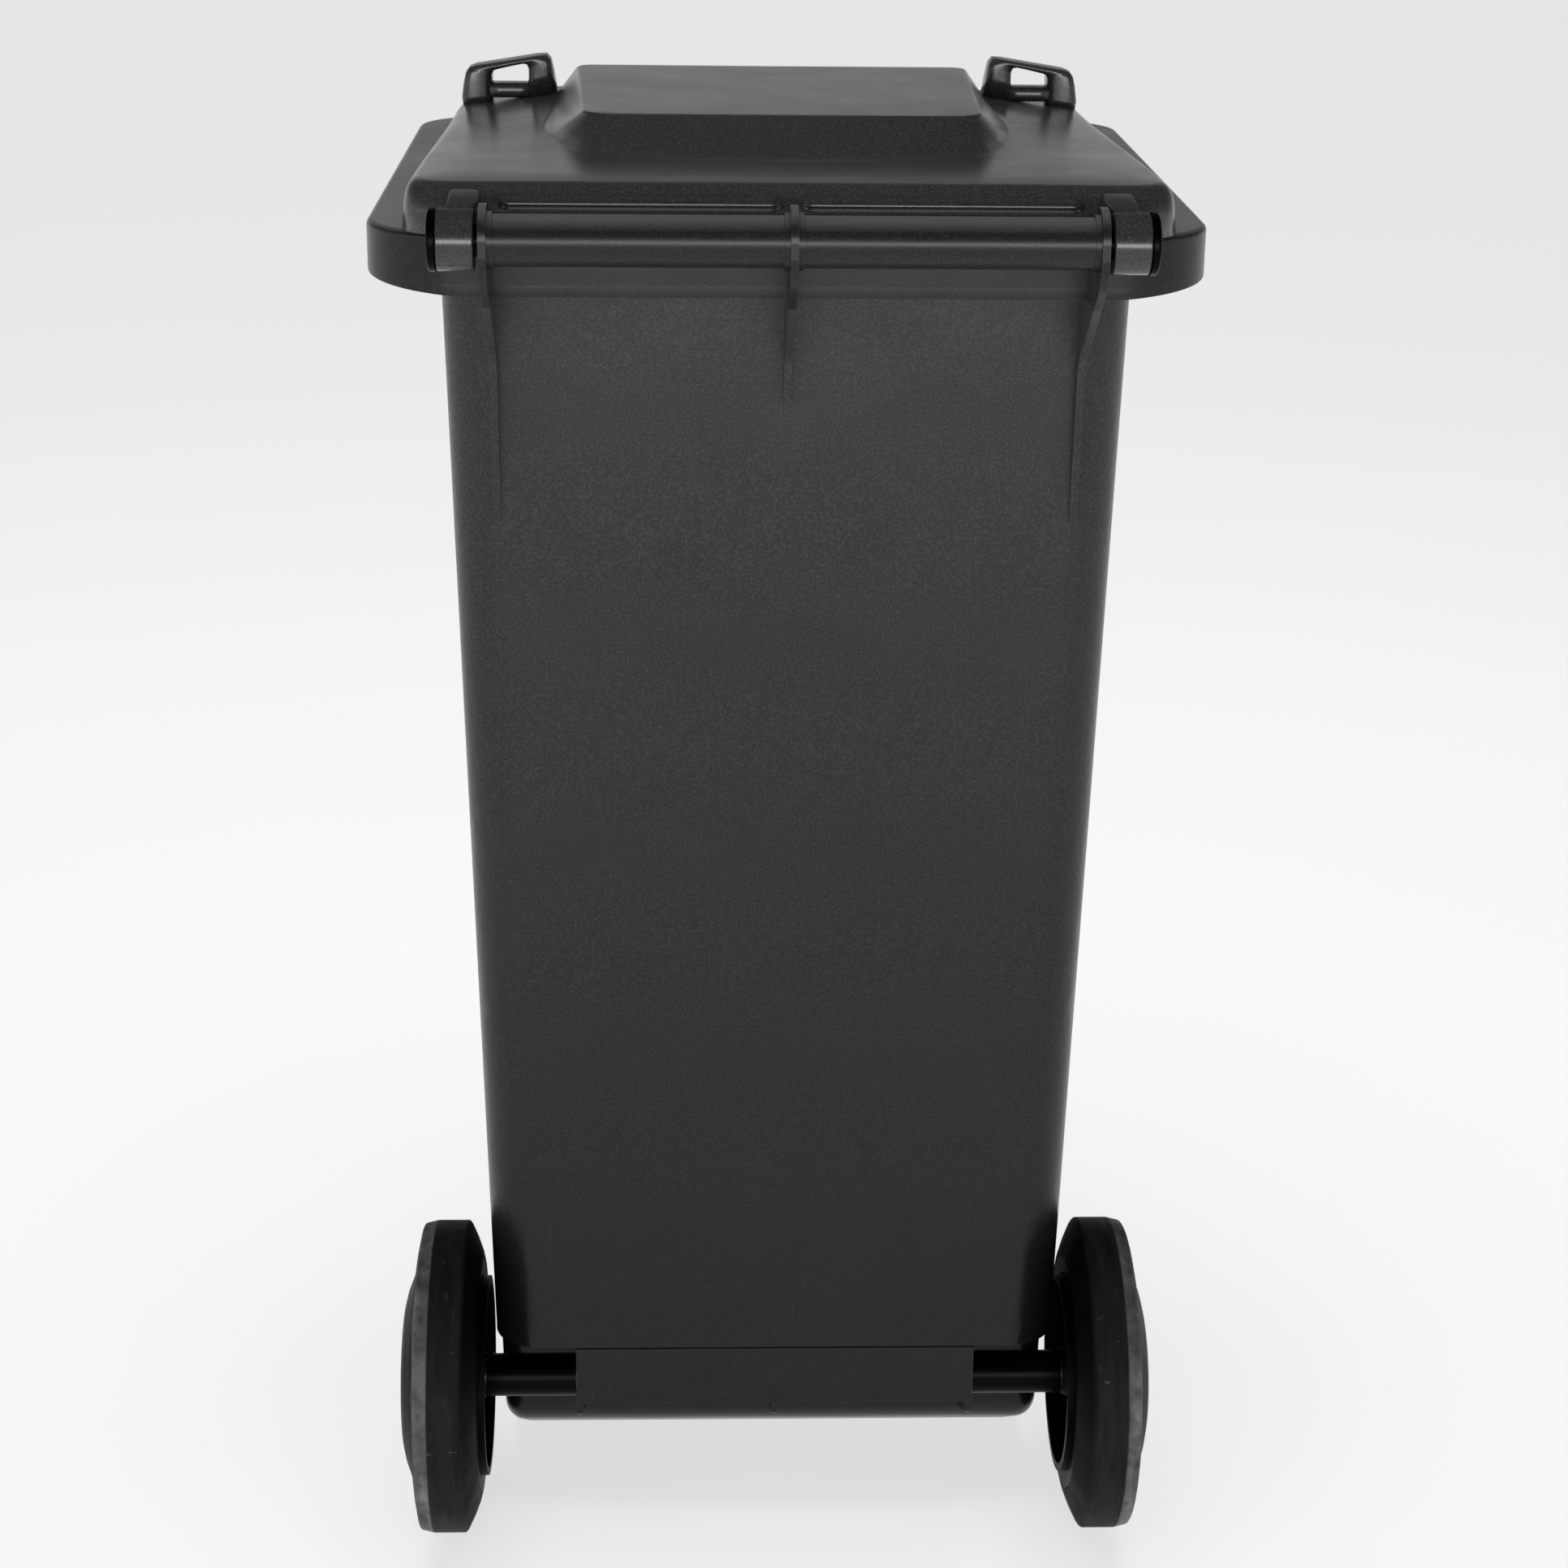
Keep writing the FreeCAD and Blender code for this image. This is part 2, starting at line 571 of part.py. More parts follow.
def lid_section(body, name, behind, inset, side_top, mid_top):
    """A cross-section with a flat middle and shoulders that fall outwards, wider than the lid."""
    sketch = new_sketch(body, name, "XZ_Plane", behind)
    outline(sketch, [
        ("-lid_half - skin", "lid_foot - 2 * skin"),
        ("-lid_half - skin", f"{side_top} - {inset}"),
        ("-crown_half", f"{mid_top} - {inset}"),
        ("crown_half", f"{mid_top} - {inset}"),
        ("lid_half + skin", f"{side_top} - {inset}"),
        ("lid_half + skin", "lid_foot - 2 * skin"),
    ])
    return sketch


def lid_block(name, inset, foot):
    """The lid's outer form, moved in by the inset: a tray with leaning sides under a raised crown."""
    sides = new_body(f"{name}_sides")
    loft(sides, "Additive", f"{name}_sides_loft",
         lid_plan(sides, f"{name}_foot_plan", foot, inset, "0"),
         lid_plan(sides, f"{name}_top_plan", "lid_top", inset, "lid_draft"))
    top = new_body(f"{name}_top")
    loft(top, "Additive", f"{name}_top_loft",
         lid_section(top, f"{name}_rear_section", "lid_rear", inset, "lid_top", "lid_top"),
         lid_section(top, f"{name}_front_section", "-lid_front", inset, "lid_front_side", "lid_front_mid"))
    tray = doc.addObject("Part::Common", f"{name}_tray")
    tray.Base = sides
    tray.Tool = top
    crown = new_body(f"{name}_crown")
    crown_foot = new_sketch(crown, f"{name}_crown_foot", "XY_Plane", f"lid_front_mid - skin - {inset}")
    outline(crown_foot, rectangle(
        f"crown_half - {inset}", f"-crown_rear + {inset}", f"crown_front - {inset}",
        f"crown_foot_round - {inset}", f"crown_round - {inset}"))
    crown_top = new_sketch(crown, f"{name}_crown_top", "XY_Plane", f"crown_top - {inset}")
    outline(crown_top, rectangle(
        f"crown_top_half - {inset}", f"-crown_top_rear + {inset}", f"crown_top_front - {inset}",
        f"crown_round - {inset}", f"crown_round - {inset}"))
    loft(crown, "Additive", f"{name}_crown_loft", crown_foot, crown_top)
    block = doc.addObject("Part::MultiFuse", name)
    block.Shapes = [tray, crown]
    doc.recompute()
    return block


def add_hinge_arms(parts):
    """Two arms that reach back from the lid's rear, each with a knuckle on the hinge axis."""
    for side, start in (("left", "-knuckle_in - knuckle_long"), ("right", "knuckle_in")):
        knuckle = new_body(f"knuckle_{side}")
        ring = new_sketch(knuckle, f"knuckle_{side}_profile", "YZ_Plane", start)
        circle(ring, "-tube_rear", "tube_up", "knuckle_radius")
        extrude(knuckle, "Pad", f"knuckle_{side}_pad", ring, "knuckle_long")
        arm_start = "knuckle_in" if side == "right" else "-knuckle_in - arm_width"
        arm = new_sketch(knuckle, f"arm_{side}_profile", "YZ_Plane", arm_start)
        outline(arm, [
            ("-tube_rear", "tube_up"),
            ("-tube_rear", "tube_up + knuckle_radius"),
            ("-lid_rear + lid_skin", "lid_top - skin"),
            ("-lid_rear + lid_skin", "lid_foot + skin"),
            ("-tube_rear + knuckle_radius - skin / 2", "tube_up - knuckle_radius / 2"),
        ])
        extrude(knuckle, "Pad", f"arm_{side}", arm, "arm_width")
        bore = new_sketch(knuckle, f"knuckle_{side}_bore_profile", "YZ_Plane", start)
        circle(bore, "-tube_rear", "tube_up", "tube_bore + pin_press + knuckle_play")
        extrude(knuckle, "Pocket", f"knuckle_{side}_bore", bore, "knuckle_long", reverse=True)
        parts.append(knuckle)


def add_grips(parts):
    """Two loops near the front corners, each with a finger hole through it."""
    for side, sign in (("left", "-"), ("right", "")):
        grip = new_body(f"grip_{side}")
        face = new_sketch(grip, f"grip_{side}_profile", "XZ_Plane", "-grip_rear")
        foot = "lid_front_side"
        slope = "(grip_inner_top - grip_outer_top) / (grip_outer - grip_inner - 2 * grip_lean)"
        outer_side = f"{sign}(grip_outer - grip_leg - grip_lean / 2)"
        inner_side = f"{sign}(grip_inner + grip_leg + grip_lean / 2)"
        outline(face, [
            (f"{sign}grip_outer", foot),
            (f"{sign}(grip_outer - grip_lean)", "grip_outer_top", "grip_round"),
            (f"{sign}(grip_inner + grip_lean)", "grip_inner_top", "grip_round"),
            (f"{sign}grip_inner", foot),
        ])
        outline(face, [
            (outer_side, "grip_sill"),
            (outer_side, f"grip_outer_top - grip_bar + grip_leg * {slope}"),
            (inner_side, f"grip_inner_top - grip_bar - grip_leg * {slope}"),
            (inner_side, "grip_sill"),
        ])
        extrude(grip, "Pad", f"grip_{side}_loop", face, "grip_deep")
        parts.append(grip)


def make_lid():
    outer = lid_block("lid_outside", "0", "lid_foot")
    inner = lid_block("lid_inside", "lid_skin", "lid_foot - skin")
    shell = doc.addObject("Part::Cut", "lid_skin_shell")
    shell.Base = outer
    shell.Tool = inner
    parts = [shell]
    add_hinge_arms(parts)
    add_grips(parts)
    lid = doc.addObject("Part::MultiFuse", "lid")
    lid.Shapes = parts
    lid.Label = "lid"
    doc.recompute()
    return lid


# ---------------------------------------------------------------- hinge pins, axle and wheels

def make_hinge_pin(side):
    """A pin with a domed head, pressed into the handle tube and running in the lid's knuckle."""
    shank = "tube_bore + pin_press"
    head = "knuckle_in + knuckle_long + side_gap"
    pin = turned_piece(f"hinge_pin_{side}", [
        ("gusset_out - pin_reach", "0"),
        ("gusset_out - pin_reach", f"{shank} - turned_edge"),
        ("gusset_out - pin_reach + turned_edge", shank),
        (head, shank),
        (head, "pin_head"),
        ("pin_end", "pin_head", "head_round"),
        ("pin_end", "0"),
    ])
    set_on_axis(pin, side, "tube_rear", "tube_up")
    return pin


def make_axle_rod():
    rod = turned_piece("axle_rod", [
        ("-axle_half", "0"),
        ("-axle_half", "axle_radius - turned_edge"),
        ("-axle_half + turned_edge", "axle_radius"),
        ("axle_half - turned_edge", "axle_radius"),
        ("axle_half", "axle_radius - turned_edge"),
        ("axle_half", "0"),
    ])
    set_on_axis(rod, "right", "axle_rear", "axle_up")
    return rod


def ring_piece(name, side, start, end, inner, outer):
    """A plain ring on the axle, on one side of the bin."""
    ring = turned_piece(f"{name}_{side}", [(start, inner), (start, outer), (end, outer), (end, inner)])
    set_on_axis(ring, side, "axle_rear", "axle_up")
    return ring


def make_tyre(side):
    tyre = turned_piece(f"tyre_{side}", [
        ("wall_in", "rim_seat"),
        ("wall_in", "rim_seat + tread_edge"),
        ("tread_in", "wheel_radius - tread_edge"),
        ("tread_in + tread_edge", "wheel_radius"),
        ("tread_out - tread_bevel", "wheel_radius"),
        ("tread_out", "wheel_radius - tread_drop"),
        ("wall_out", "rim_seat + tread_edge"),
        ("wall_out", "rim_seat"),
    ])
    set_on_axis(tyre, side, "axle_rear", "axle_up")
    return tyre


def make_wheel_hub(side):
    """A ring under the tyre with a lip on its inner side, a web with ribs, and a boss that flares from the
    sleeve."""
    ring_inner = "rim_seat - felloe"
    web_out = "web_in + web_thick"
    sink = "felloe / 5"
    name = f"wheel_hub_{side}"
    hub = turned_piece(name, [
        ("boss_in", "bush_radius"),
        ("boss_in", "boss_tip"),
        ("tread_in", "boss_radius"),
        ("web_in", "boss_radius + web_round / 2", "web_round / 2"),
        ("web_in", ring_inner, "web_round"),
        ("wall_in + felloe", ring_inner),
        ("wall_in + felloe", "lip_radius"),
        ("lip_in", "lip_radius"),
        ("lip_in", "lip_radius + felloe"),
        ("wall_in", "lip_radius + felloe"),
        ("wall_in", "rim_seat"),
        ("wall_out - turned_edge", "rim_seat"),
        ("wall_out - turned_edge", ring_inner),
        (web_out, ring_inner, "web_round"),
        (web_out, "boss_radius", "web_round"),
        ("wall_out", "boss_radius"),
        ("wall_out", "bush_radius"),
    ])
    rib = new_sketch(hub, f"{name}_rib_plan", "XZ_Plane", "-skin / 2")
    outline(rib, [
        ("tread_in + web_round", f"boss_radius - {sink}"),
        (f"web_in + {sink}", f"boss_radius - {sink}"),
        (f"web_in + {sink}", f"{ring_inner} + {sink}"),
        ("tread_in + web_round", f"{ring_inner} + {sink}"),
    ])
    first = extrude(hub, "Pad", f"{name}_rib", rib, "skin")
    ribs = hub.newObject("PartDesign::PolarPattern", f"{name}_ribs")
    ribs.Originals = [first]
    ribs.Axis = (origin_part(hub, "X_Axis"), [""])
    ribs.Angle = 360
    bind(ribs, Occurrences="hub_ribs")
    hub.Tip = ribs
    doc.recompute()
    set_on_axis(hub, side, "axle_rear", "axle_up")
    return hub


def make_hub_cap(side):
    """A domed cover over the wheel's outer side, with a skirt inside the hub's ring."""
    rim = "rim_seat - felloe"
    inner = "cap_out - cap_thick"
    cap = turned_piece(f"hub_cap_{side}", [
        ("wall_out - cap_skirt", rim),
        ("wall_out + turned_edge", rim),
        ("cap_out - cap_dip", "cap_flat + cap_shoulder", "cap_shoulder_round"),
        ("cap_out", "cap_flat", "cap_flat_round"),
        ("cap_out", "0"),
        (inner, "0"),
        (inner, "cap_flat", "cap_flat_round - cap_thick"),
        (f"{inner} - cap_dip", "cap_flat + cap_shoulder - cap_thick", "cap_shoulder_round - cap_thick"),
        ("wall_out + turned_edge - cap_thick", f"{rim} - cap_thick"),
        ("wall_out - cap_skirt", f"{rim} - cap_thick"),
    ])
    set_on_axis(cap, side, "axle_rear", "axle_up")
    return cap


def make_wheel_pieces(side):
    """Everything on the axle on one side of the bin, from the sleeve outwards."""
    washer_start = "wall_out + side_gap"
    lock_start = "wall_out + 2 * side_gap + washer_thick"
    return [
        ring_piece("spacer_sleeve", side, "housing_half + side_gap", "boss_in - side_gap",
                   "axle_radius + sleeve_play", "sleeve_radius"),
        make_wheel_hub(side),
        ring_piece("hub_bush", side, "boss_in + side_gap", "wall_out - side_gap",
                   "axle_radius + axle_play", "bush_radius"),
        make_tyre(side),
        ring_piece("thrust_washer", side, washer_start, f"{washer_start} + washer_thick",
                   "axle_radius + sleeve_play", "washer_radius"),
        ring_piece("lock_ring", side, lock_start, f"{lock_start} + lock_thick",
                   "axle_radius", "lock_radius"),
        make_hub_cap(side),
    ]


def make_chip_nest_plug():
    """A stepped disc that closes the chip nest from below."""
    plug = new_body("chip_nest_plug")
    mouth = "rim_top - skin - nest_depth"
    flange = new_sketch(plug, "plug_flange_plan", "XY_Plane")
    circle(flange, "0", "0", "nest_radius - side_gap")
    extrude(plug, "Pad", "plug_flange", flange, "plug_flange", reverse=True)
    stem = new_sketch(plug, "plug_stem_plan", "XY_Plane")
    circle(stem, "0", "0", "nest_bore")
    extrude(plug, "Pad", "plug_stem", stem, "nest_depth / 2")
    plug.setExpression("Placement.Base.y", bound("(tub_top_front + rim_front) / 2 - skin / 2"))
    plug.setExpression("Placement.Base.z", bound(mouth))
    return plug


# ---------------------------------------------------------------- assembly and files

def check(nodes):
    """Stop if any object of the document failed or any piece has no sound shape."""
    for item in doc.Objects:
        if "Invalid" in item.State or "Error" in item.State:
            raise RuntimeError(f"{item.Label} failed: {item.State}")
    for node in nodes:
        if node.Shape.isNull() or not node.Shape.isValid():
            raise RuntimeError(f"{node.Label} has no valid shape")
        if len(node.Shape.Solids) != 1:
            raise RuntimeError(f"{node.Label} is {len(node.Shape.Solids)} solids")


nodes = [make_body_shell(), make_lid(), make_axle_rod(), make_chip_nest_plug()]
for side in ("left", "right"):
    nodes.append(make_hinge_pin(side))
    nodes.extend(make_wheel_pieces(side))
doc.recompute()
check(nodes)
os.makedirs("parts", exist_ok=True)
for node in nodes:
    node.Shape.exportStep(f"parts/{node.Label}.step")
    box = node.Shape.BoundBox
    print(f"{node.Label}: {node.Shape.Volume / 1000:.1f} cm3, X {box.XMin:.1f} {box.XMax:.1f}, "
          f"Y {box.YMin:.1f} {box.YMax:.1f}, Z {box.ZMin:.1f} {box.ZMax:.1f}")
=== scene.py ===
import json
import math

import bmesh
import bpy
from mathutils import Matrix, Vector


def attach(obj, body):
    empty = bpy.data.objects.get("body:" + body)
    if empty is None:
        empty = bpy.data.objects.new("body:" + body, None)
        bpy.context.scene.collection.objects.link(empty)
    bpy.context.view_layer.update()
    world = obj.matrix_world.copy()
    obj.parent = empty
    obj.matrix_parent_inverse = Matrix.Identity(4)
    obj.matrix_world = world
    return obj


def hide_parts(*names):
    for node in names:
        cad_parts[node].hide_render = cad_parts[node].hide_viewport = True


# The looks of a two-wheeled wheelie bin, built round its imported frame. The frame's axes hold: +Z up,
# -Y towards the handle and the wheels, +X to the right of someone behind the handle. The pieces' shapes are
# in millimetres. Materials, lights and the camera's place are in metres.

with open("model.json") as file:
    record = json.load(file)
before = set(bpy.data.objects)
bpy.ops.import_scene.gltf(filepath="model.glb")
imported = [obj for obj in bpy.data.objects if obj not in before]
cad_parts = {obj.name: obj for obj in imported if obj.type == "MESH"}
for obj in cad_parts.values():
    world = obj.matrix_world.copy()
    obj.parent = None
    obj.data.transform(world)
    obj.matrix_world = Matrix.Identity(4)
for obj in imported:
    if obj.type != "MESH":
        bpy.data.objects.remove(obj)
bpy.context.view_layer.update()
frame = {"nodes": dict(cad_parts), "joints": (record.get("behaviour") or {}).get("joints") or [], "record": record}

MM = 0.001
SIDES = {"left": -1, "right": 1}
JOINTS = {joint["name"]: Vector(joint["pos_m"]) for joint in frame["joints"]}
HINGE = JOINTS["lid_hinge"]
AXLE = JOINTS["wheel_left_spin"]


# ---------------------------------------------------------------- shader nodes

NOISE_ROUGHNESS = 0.55
WORN_EDGE_RADIUS = 1.2 * MM


def add_node(tree, kind, inputs=None, **settings):
    """Add a shader node, then set or link its inputs."""
    made = tree.nodes.new(kind)
    for key, value in settings.items():
        setattr(made, key, value)
    for key, value in (inputs or {}).items():
        if isinstance(value, bpy.types.NodeSocket):
            tree.links.new(value, made.inputs[key])
        else:
            made.inputs[key].default_value = value
    return made


def start_material(name):
    """An empty material with its output and its shader."""
    material = bpy.data.materials.new(name)
    material.use_nodes = True
    tree = material.node_tree
    tree.nodes.clear()
    output = tree.nodes.new("ShaderNodeOutputMaterial")
    shader = tree.nodes.new("ShaderNodeBsdfPrincipled")
    tree.links.new(shader.outputs["BSDF"], output.inputs["Surface"])
    return material, tree, shader


def place(tree, stretch=(1, 1, 1)):
    """Coordinates on the piece in metres. A stretch below 1 makes a pattern longer along that axis."""
    coordinates = tree.nodes.new("ShaderNodeTexCoord").outputs["Object"]
    return add_node(tree, "ShaderNodeMapping", {"Vector": coordinates, "Scale": stretch}).outputs["Vector"]


def split(tree, vector):
    """The outputs X, Y and Z of a vector."""
    return add_node(tree, "ShaderNodeSeparateXYZ", {"Vector": vector}).outputs


def noise(tree, where, scale, detail):
    """Noise from 0 to 1, with the given number of features to the metre."""
    return add_node(tree, "ShaderNodeTexNoise", {
        "Vector": where, "Scale": scale, "Detail": detail, "Roughness": NOISE_ROUGHNESS}).outputs["Fac"]


def spread(tree, value, low, high, to_low=0.0, to_high=1.0):
    """Spread the part of a value between low and high over another range, and clamp it there."""
    inputs = {"Value": value, "From Min": low, "From Max": high, "To Min": to_low, "To Max": to_high}
    return add_node(tree, "ShaderNodeMapRange", inputs).outputs["Result"]


def noise_mask(tree, where, scale, detail, low, high, weakest=0.0, strongest=1.0):
    """A mask that goes from weakest to strongest as noise goes from low to high."""
    return spread(tree, noise(tree, where, scale, detail), low, high, weakest, strongest)


def combine(tree, operation, first, second):
    """One maths operation on two values."""
    return add_node(tree, "ShaderNodeMath", {0: first, 1: second}, operation=operation).outputs["Value"]


def multiply(tree, first, second):
    """The product of two masks."""
    return combine(tree, "MULTIPLY", first, second)


def mix_colours(tree, factor, first, second):
    """Go from the first colour to the second as the factor goes from 0 to 1."""
    inputs = {"Factor": factor, 6: first, 7: second}
    return add_node(tree, "ShaderNodeMix", inputs, data_type="RGBA").outputs[2]


def grey(value, warmth=0.0):
    """A nearly neutral colour, given as linear light."""
    return (value * (1 + warmth), value, value * (1 - warmth), 1)


def raise_surface(tree, shader, layers):
    """Chain bumps, each given as (height, depth in metres)."""
    normal = None
    for height, depth in layers:
        inputs = {"Height": height, "Distance": depth, "Strength": 1.0}
        if normal is not None:
            inputs["Normal"] = normal
        normal = add_node(tree, "ShaderNodeBump", inputs).outputs["Normal"]
    tree.links.new(normal, shader.inputs["Normal"])


def edge_wear(tree):
    """A mask that is 1 along sharp edges, where the rounded normal leaves the true one."""
    rounded = add_node(tree, "ShaderNodeBevel", {"Radius": WORN_EDGE_RADIUS}, samples=4).outputs["Normal"]
    true = tree.nodes.new("ShaderNodeNewGeometry").outputs["Normal"]
    agreement = add_node(tree, "ShaderNodeVectorMath", {0: rounded, 1: true}, operation="DOT_PRODUCT")
    return spread(tree, agreement.outputs["Value"], 0.99, 0.85)


# ---------------------------------------------------------------- materials

# The body goes from black to its own grey between these heights: painted shade that darkens it towards the foot.
BODY_SHADE_HEIGHTS = (-0.02, 0.9)

# Above this height the body is darker by this share, which shows the edge that hangs round the collar: painted
# shade on the collar and the handle tube, and a thin painted shadow on the walls just under the collar.
BODY_RIM = 0.8292
RIM_PAINTED_SHADE = 0.6

# Faces that point up go towards this paler grey.
UPWARD_PALE = grey(0.2)
DUST = grey(0.1, 0.05)
DUST_TOP = 0.3

# How far from the bin's middle the tread starts, its pale bevel starts and the tread ends. Each is a soft step,
# from none of it to all of it. The bevel's paleness is partly kerb wear and partly a painted highlight.
TREAD_START = (0.1995, 0.2025)
BEVEL_START = (0.2215, 0.2228)
TREAD_END = (0.2312, 0.2304)


def plastic_colour(tree, where, height, tone, low_shade, rim, upward_paleness):
    """A cloudy, speckled grey, perhaps blackened by painted shade low down or above a rim, and paler where it
    faces up.
    """
    clouds = noise_mask(tree, where, 4, 5, 0.3, 0.7)
    colour = mix_colours(tree, clouds, grey(tone * 0.85), grey(tone * 1.2))
    speckle = noise_mask(tree, where, 700, 3, 0.45, 0.68, 0, 0.7)
    colour = mix_colours(tree, speckle, colour, grey(tone * 2.8))
    # Painted shade: the colour goes to black towards the foot.
    if low_shade:
        colour = mix_colours(tree, spread(tree, height, *low_shade), grey(0), colour)
    # Painted shade: the colour is darker above the rim height.
    if rim:
        colour = mix_colours(tree, spread(tree, height, rim, rim + MM, 0, RIM_PAINTED_SHADE), colour, grey(0))
    # Faces that point up go paler.
    upward = split(tree, tree.nodes.new("ShaderNodeTexCoord").outputs["Normal"])["Z"]
    return mix_colours(tree, spread(tree, upward, 0.5, 0.95, 0, upward_paleness), colour, UPWARD_PALE)


def moulded_plastic(
        name, tone, roughness, gloss, grain, sink, scuffs, low_shade=None, rim=None, upward_paleness=0.0, dust=0.0):
    """Injection-moulded plastic of a grey tone, with scratches, worn edges and dust low down.

    The depths of its fine grain and of its sink marks are in metres. The strengths of its scuffs, of its paleness
    where it faces up and of its dust go from 0 to 1. It may be blackened by painted shade low down, between two
    heights, and above a rim height, as for the body above.
    """
    material, tree, shader = start_material(name)
    where = place(tree)
    height = split(tree, where)["Z"]
    colour = plastic_colour(tree, where, height, tone, low_shade, rim, upward_paleness)

    scratches = noise_mask(tree, place(tree, (1, 1, 0.06)), 420, 3, 0.66, 0.76, 0, scuffs)
    scratched = multiply(tree, scratches, noise_mask(tree, where, 9, 4, 0.55, 0.75))
    worn = multiply(tree, edge_wear(tree), noise_mask(tree, where, 60, 4, 0.35, 0.65, 0, 0.35))
    near_ground = spread(tree, height, DUST_TOP, 0.0, 0, dust)
    dusty = multiply(tree, near_ground, noise_mask(tree, where, 35, 6, 0.35, 0.7))
    for mask, pale in ((scratched, grey(tone * 3)), (worn, grey(tone * 3)), (dusty, DUST)):
        colour = mix_colours(tree, mask, colour, pale)
    tree.links.new(colour, shader.inputs["Base Color"])

    rough = noise_mask(tree, where, 18, 5, 0.3, 0.7, roughness * 0.9, roughness * 1.12)
    for mask, rougher in ((dusty, 0.3), (scratched, 0.15)):
        rough = combine(tree, "ADD", rough, multiply(tree, mask, rougher))
    tree.links.new(rough, shader.inputs["Roughness"])
    shader.inputs["Specular IOR Level"].default_value = gloss
    raise_surface(tree, shader, [
        (noise(tree, where, 6, 2), sink),
        (noise(tree, where, 900, 2), grain),
    ])
    return material


def body_plastic():
    """Charcoal plastic with a fine grain, paler where it faces up, and darkened by painted shade towards the foot
    and above the collar's hanging edge.
    """
    return moulded_plastic(
        "body_plastic", tone=0.036, roughness=0.28, gloss=0.27, grain=0.03 * MM, sink=0.4 * MM, scuffs=0.5,
        low_shade=BODY_SHADE_HEIGHTS, rim=BODY_RIM, upward_paleness=0.6, dust=0.03)


def lid_plastic():
    """The lid's smoother and glossier charcoal plastic."""
    return moulded_plastic(
        "lid_plastic", tone=0.03, roughness=0.21, gloss=0.5, grain=0.006 * MM, sink=0.03 * MM, scuffs=0.15)


def black_plastic():
    """The black plastic of the small fittings."""
    return moulded_plastic(
        "black_plastic", tone=0.0005, roughness=0.3, gloss=0.05, grain=0.01 * MM, sink=0.05 * MM, scuffs=0.3)


def wheel_plastic():
    """The wheels' dull and dusty black plastic."""
    return moulded_plastic(
        "wheel_plastic", tone=0.0006, roughness=0.45, gloss=0.04, grain=0.02 * MM, sink=0.1 * MM, scuffs=0.5,
        dust=0.02)


def bush_plastic():
    """The natural pale plastic of the bearings."""
    return moulded_plastic(
        "bush_plastic", tone=0.4, roughness=0.4, gloss=0.5, grain=0.02 * MM, sink=0.1 * MM, scuffs=0.1)


def tyre_rubber():
    """Solid rubber: black walls, a greyer tread with streaks and scars, and a pale bevel, partly worn by kerbs and
    partly a painted highlight.
    """
    material, tree, shader = start_material("tyre_rubber")
    where = place(tree)
    blotches = noise(tree, where, 45, 5)
    outward = combine(tree, "ABSOLUTE", split(tree, where)["X"], 0.0)
    on_tread = multiply(tree, spread(tree, outward, *TREAD_START), spread(tree, outward, *TREAD_END))
    on_bevel = multiply(tree, on_tread, spread(tree, outward, *BEVEL_START))
    streaks = noise_mask(tree, place(tree, (1, 0.15, 0.15)), 160, 4, 0.35, 0.65, 0.55, 1.0)
    kerb_wear_and_highlight = multiply(tree, streaks, noise_mask(tree, where, 70, 6, 0.3, 0.65, 0.3, 1.0))
    scars = noise_mask(tree, place(tree, (1, 0.3, 0.3)), 230, 4, 0.62, 0.72, 0, 0.5)
    nicks = noise_mask(tree, place(tree, (0.5, 1, 1)), 110, 3, 0.7, 0.74, 0, 0.8)

    colour = mix_colours(tree, spread(tree, blotches, 0.35, 0.7), grey(0.0008), grey(0.0025))
    for zone, pattern, tone in (
        (on_tread, streaks, 0.022),
        # The pale bevel: partly kerb wear and partly a painted highlight.
        (on_bevel, kerb_wear_and_highlight, 0.26),
        (on_tread, scars, 0.05),
        (on_tread, nicks, 0.12),
    ):
        colour = mix_colours(tree, multiply(tree, zone, pattern), colour, grey(tone))
    tree.links.new(colour, shader.inputs["Base Color"])

    shader.inputs["Specular IOR Level"].default_value = 0.06
    tree.links.new(spread(tree, blotches, 0.3, 0.7, 0.5, 0.7), shader.inputs["Roughness"])
    raise_surface(tree, shader, [
        (noise(tree, place(tree, (1, 0.25, 0.25)), 200, 4), 0.3 * MM),
        (noise(tree, where, 900, 3), 0.06 * MM),
    ])
    return material


def zinc_steel():
    """Zinc plate with a faint spangle and dull spots."""
    material, tree, shader = start_material("zinc_steel")
    where = place(tree)
    spangle = add_node(tree, "ShaderNodeTexVoronoi", {"Vector": where, "Scale": 260}).outputs["Distance"]
    tarnish = noise_mask(tree, where, 90, 6, 0.45, 0.7)
    colour = mix_colours(tree, spread(tree, spangle, 0, 0.7), grey(0.42, -0.02), grey(0.6, -0.02))
    colour = mix_colours(tree, tarnish, colour, grey(0.25, 0.08))
    tree.links.new(colour, shader.inputs["Base Color"])
    shader.inputs["Metallic"].default_value = 1.0
    tree.links.new(spread(tree, tarnish, 0, 1, 0.28, 0.55), shader.inputs["Roughness"])
    raise_surface(tree, shader, [(noise(tree, place(tree, (30, 1, 1)), 120, 3), 0.02 * MM)])
    return material


MATERIALS = {
    "body_plastic": body_plastic(),
    "lid_plastic": lid_plastic(),
    "black_plastic": black_plastic(),
    "wheel_plastic": wheel_plastic(),
    "bush_plastic": bush_plastic(),
    "tyre_rubber": tyre_rubber(),
    "zinc_steel": zinc_steel(),
}


# ---------------------------------------------------------------- mesh helpers

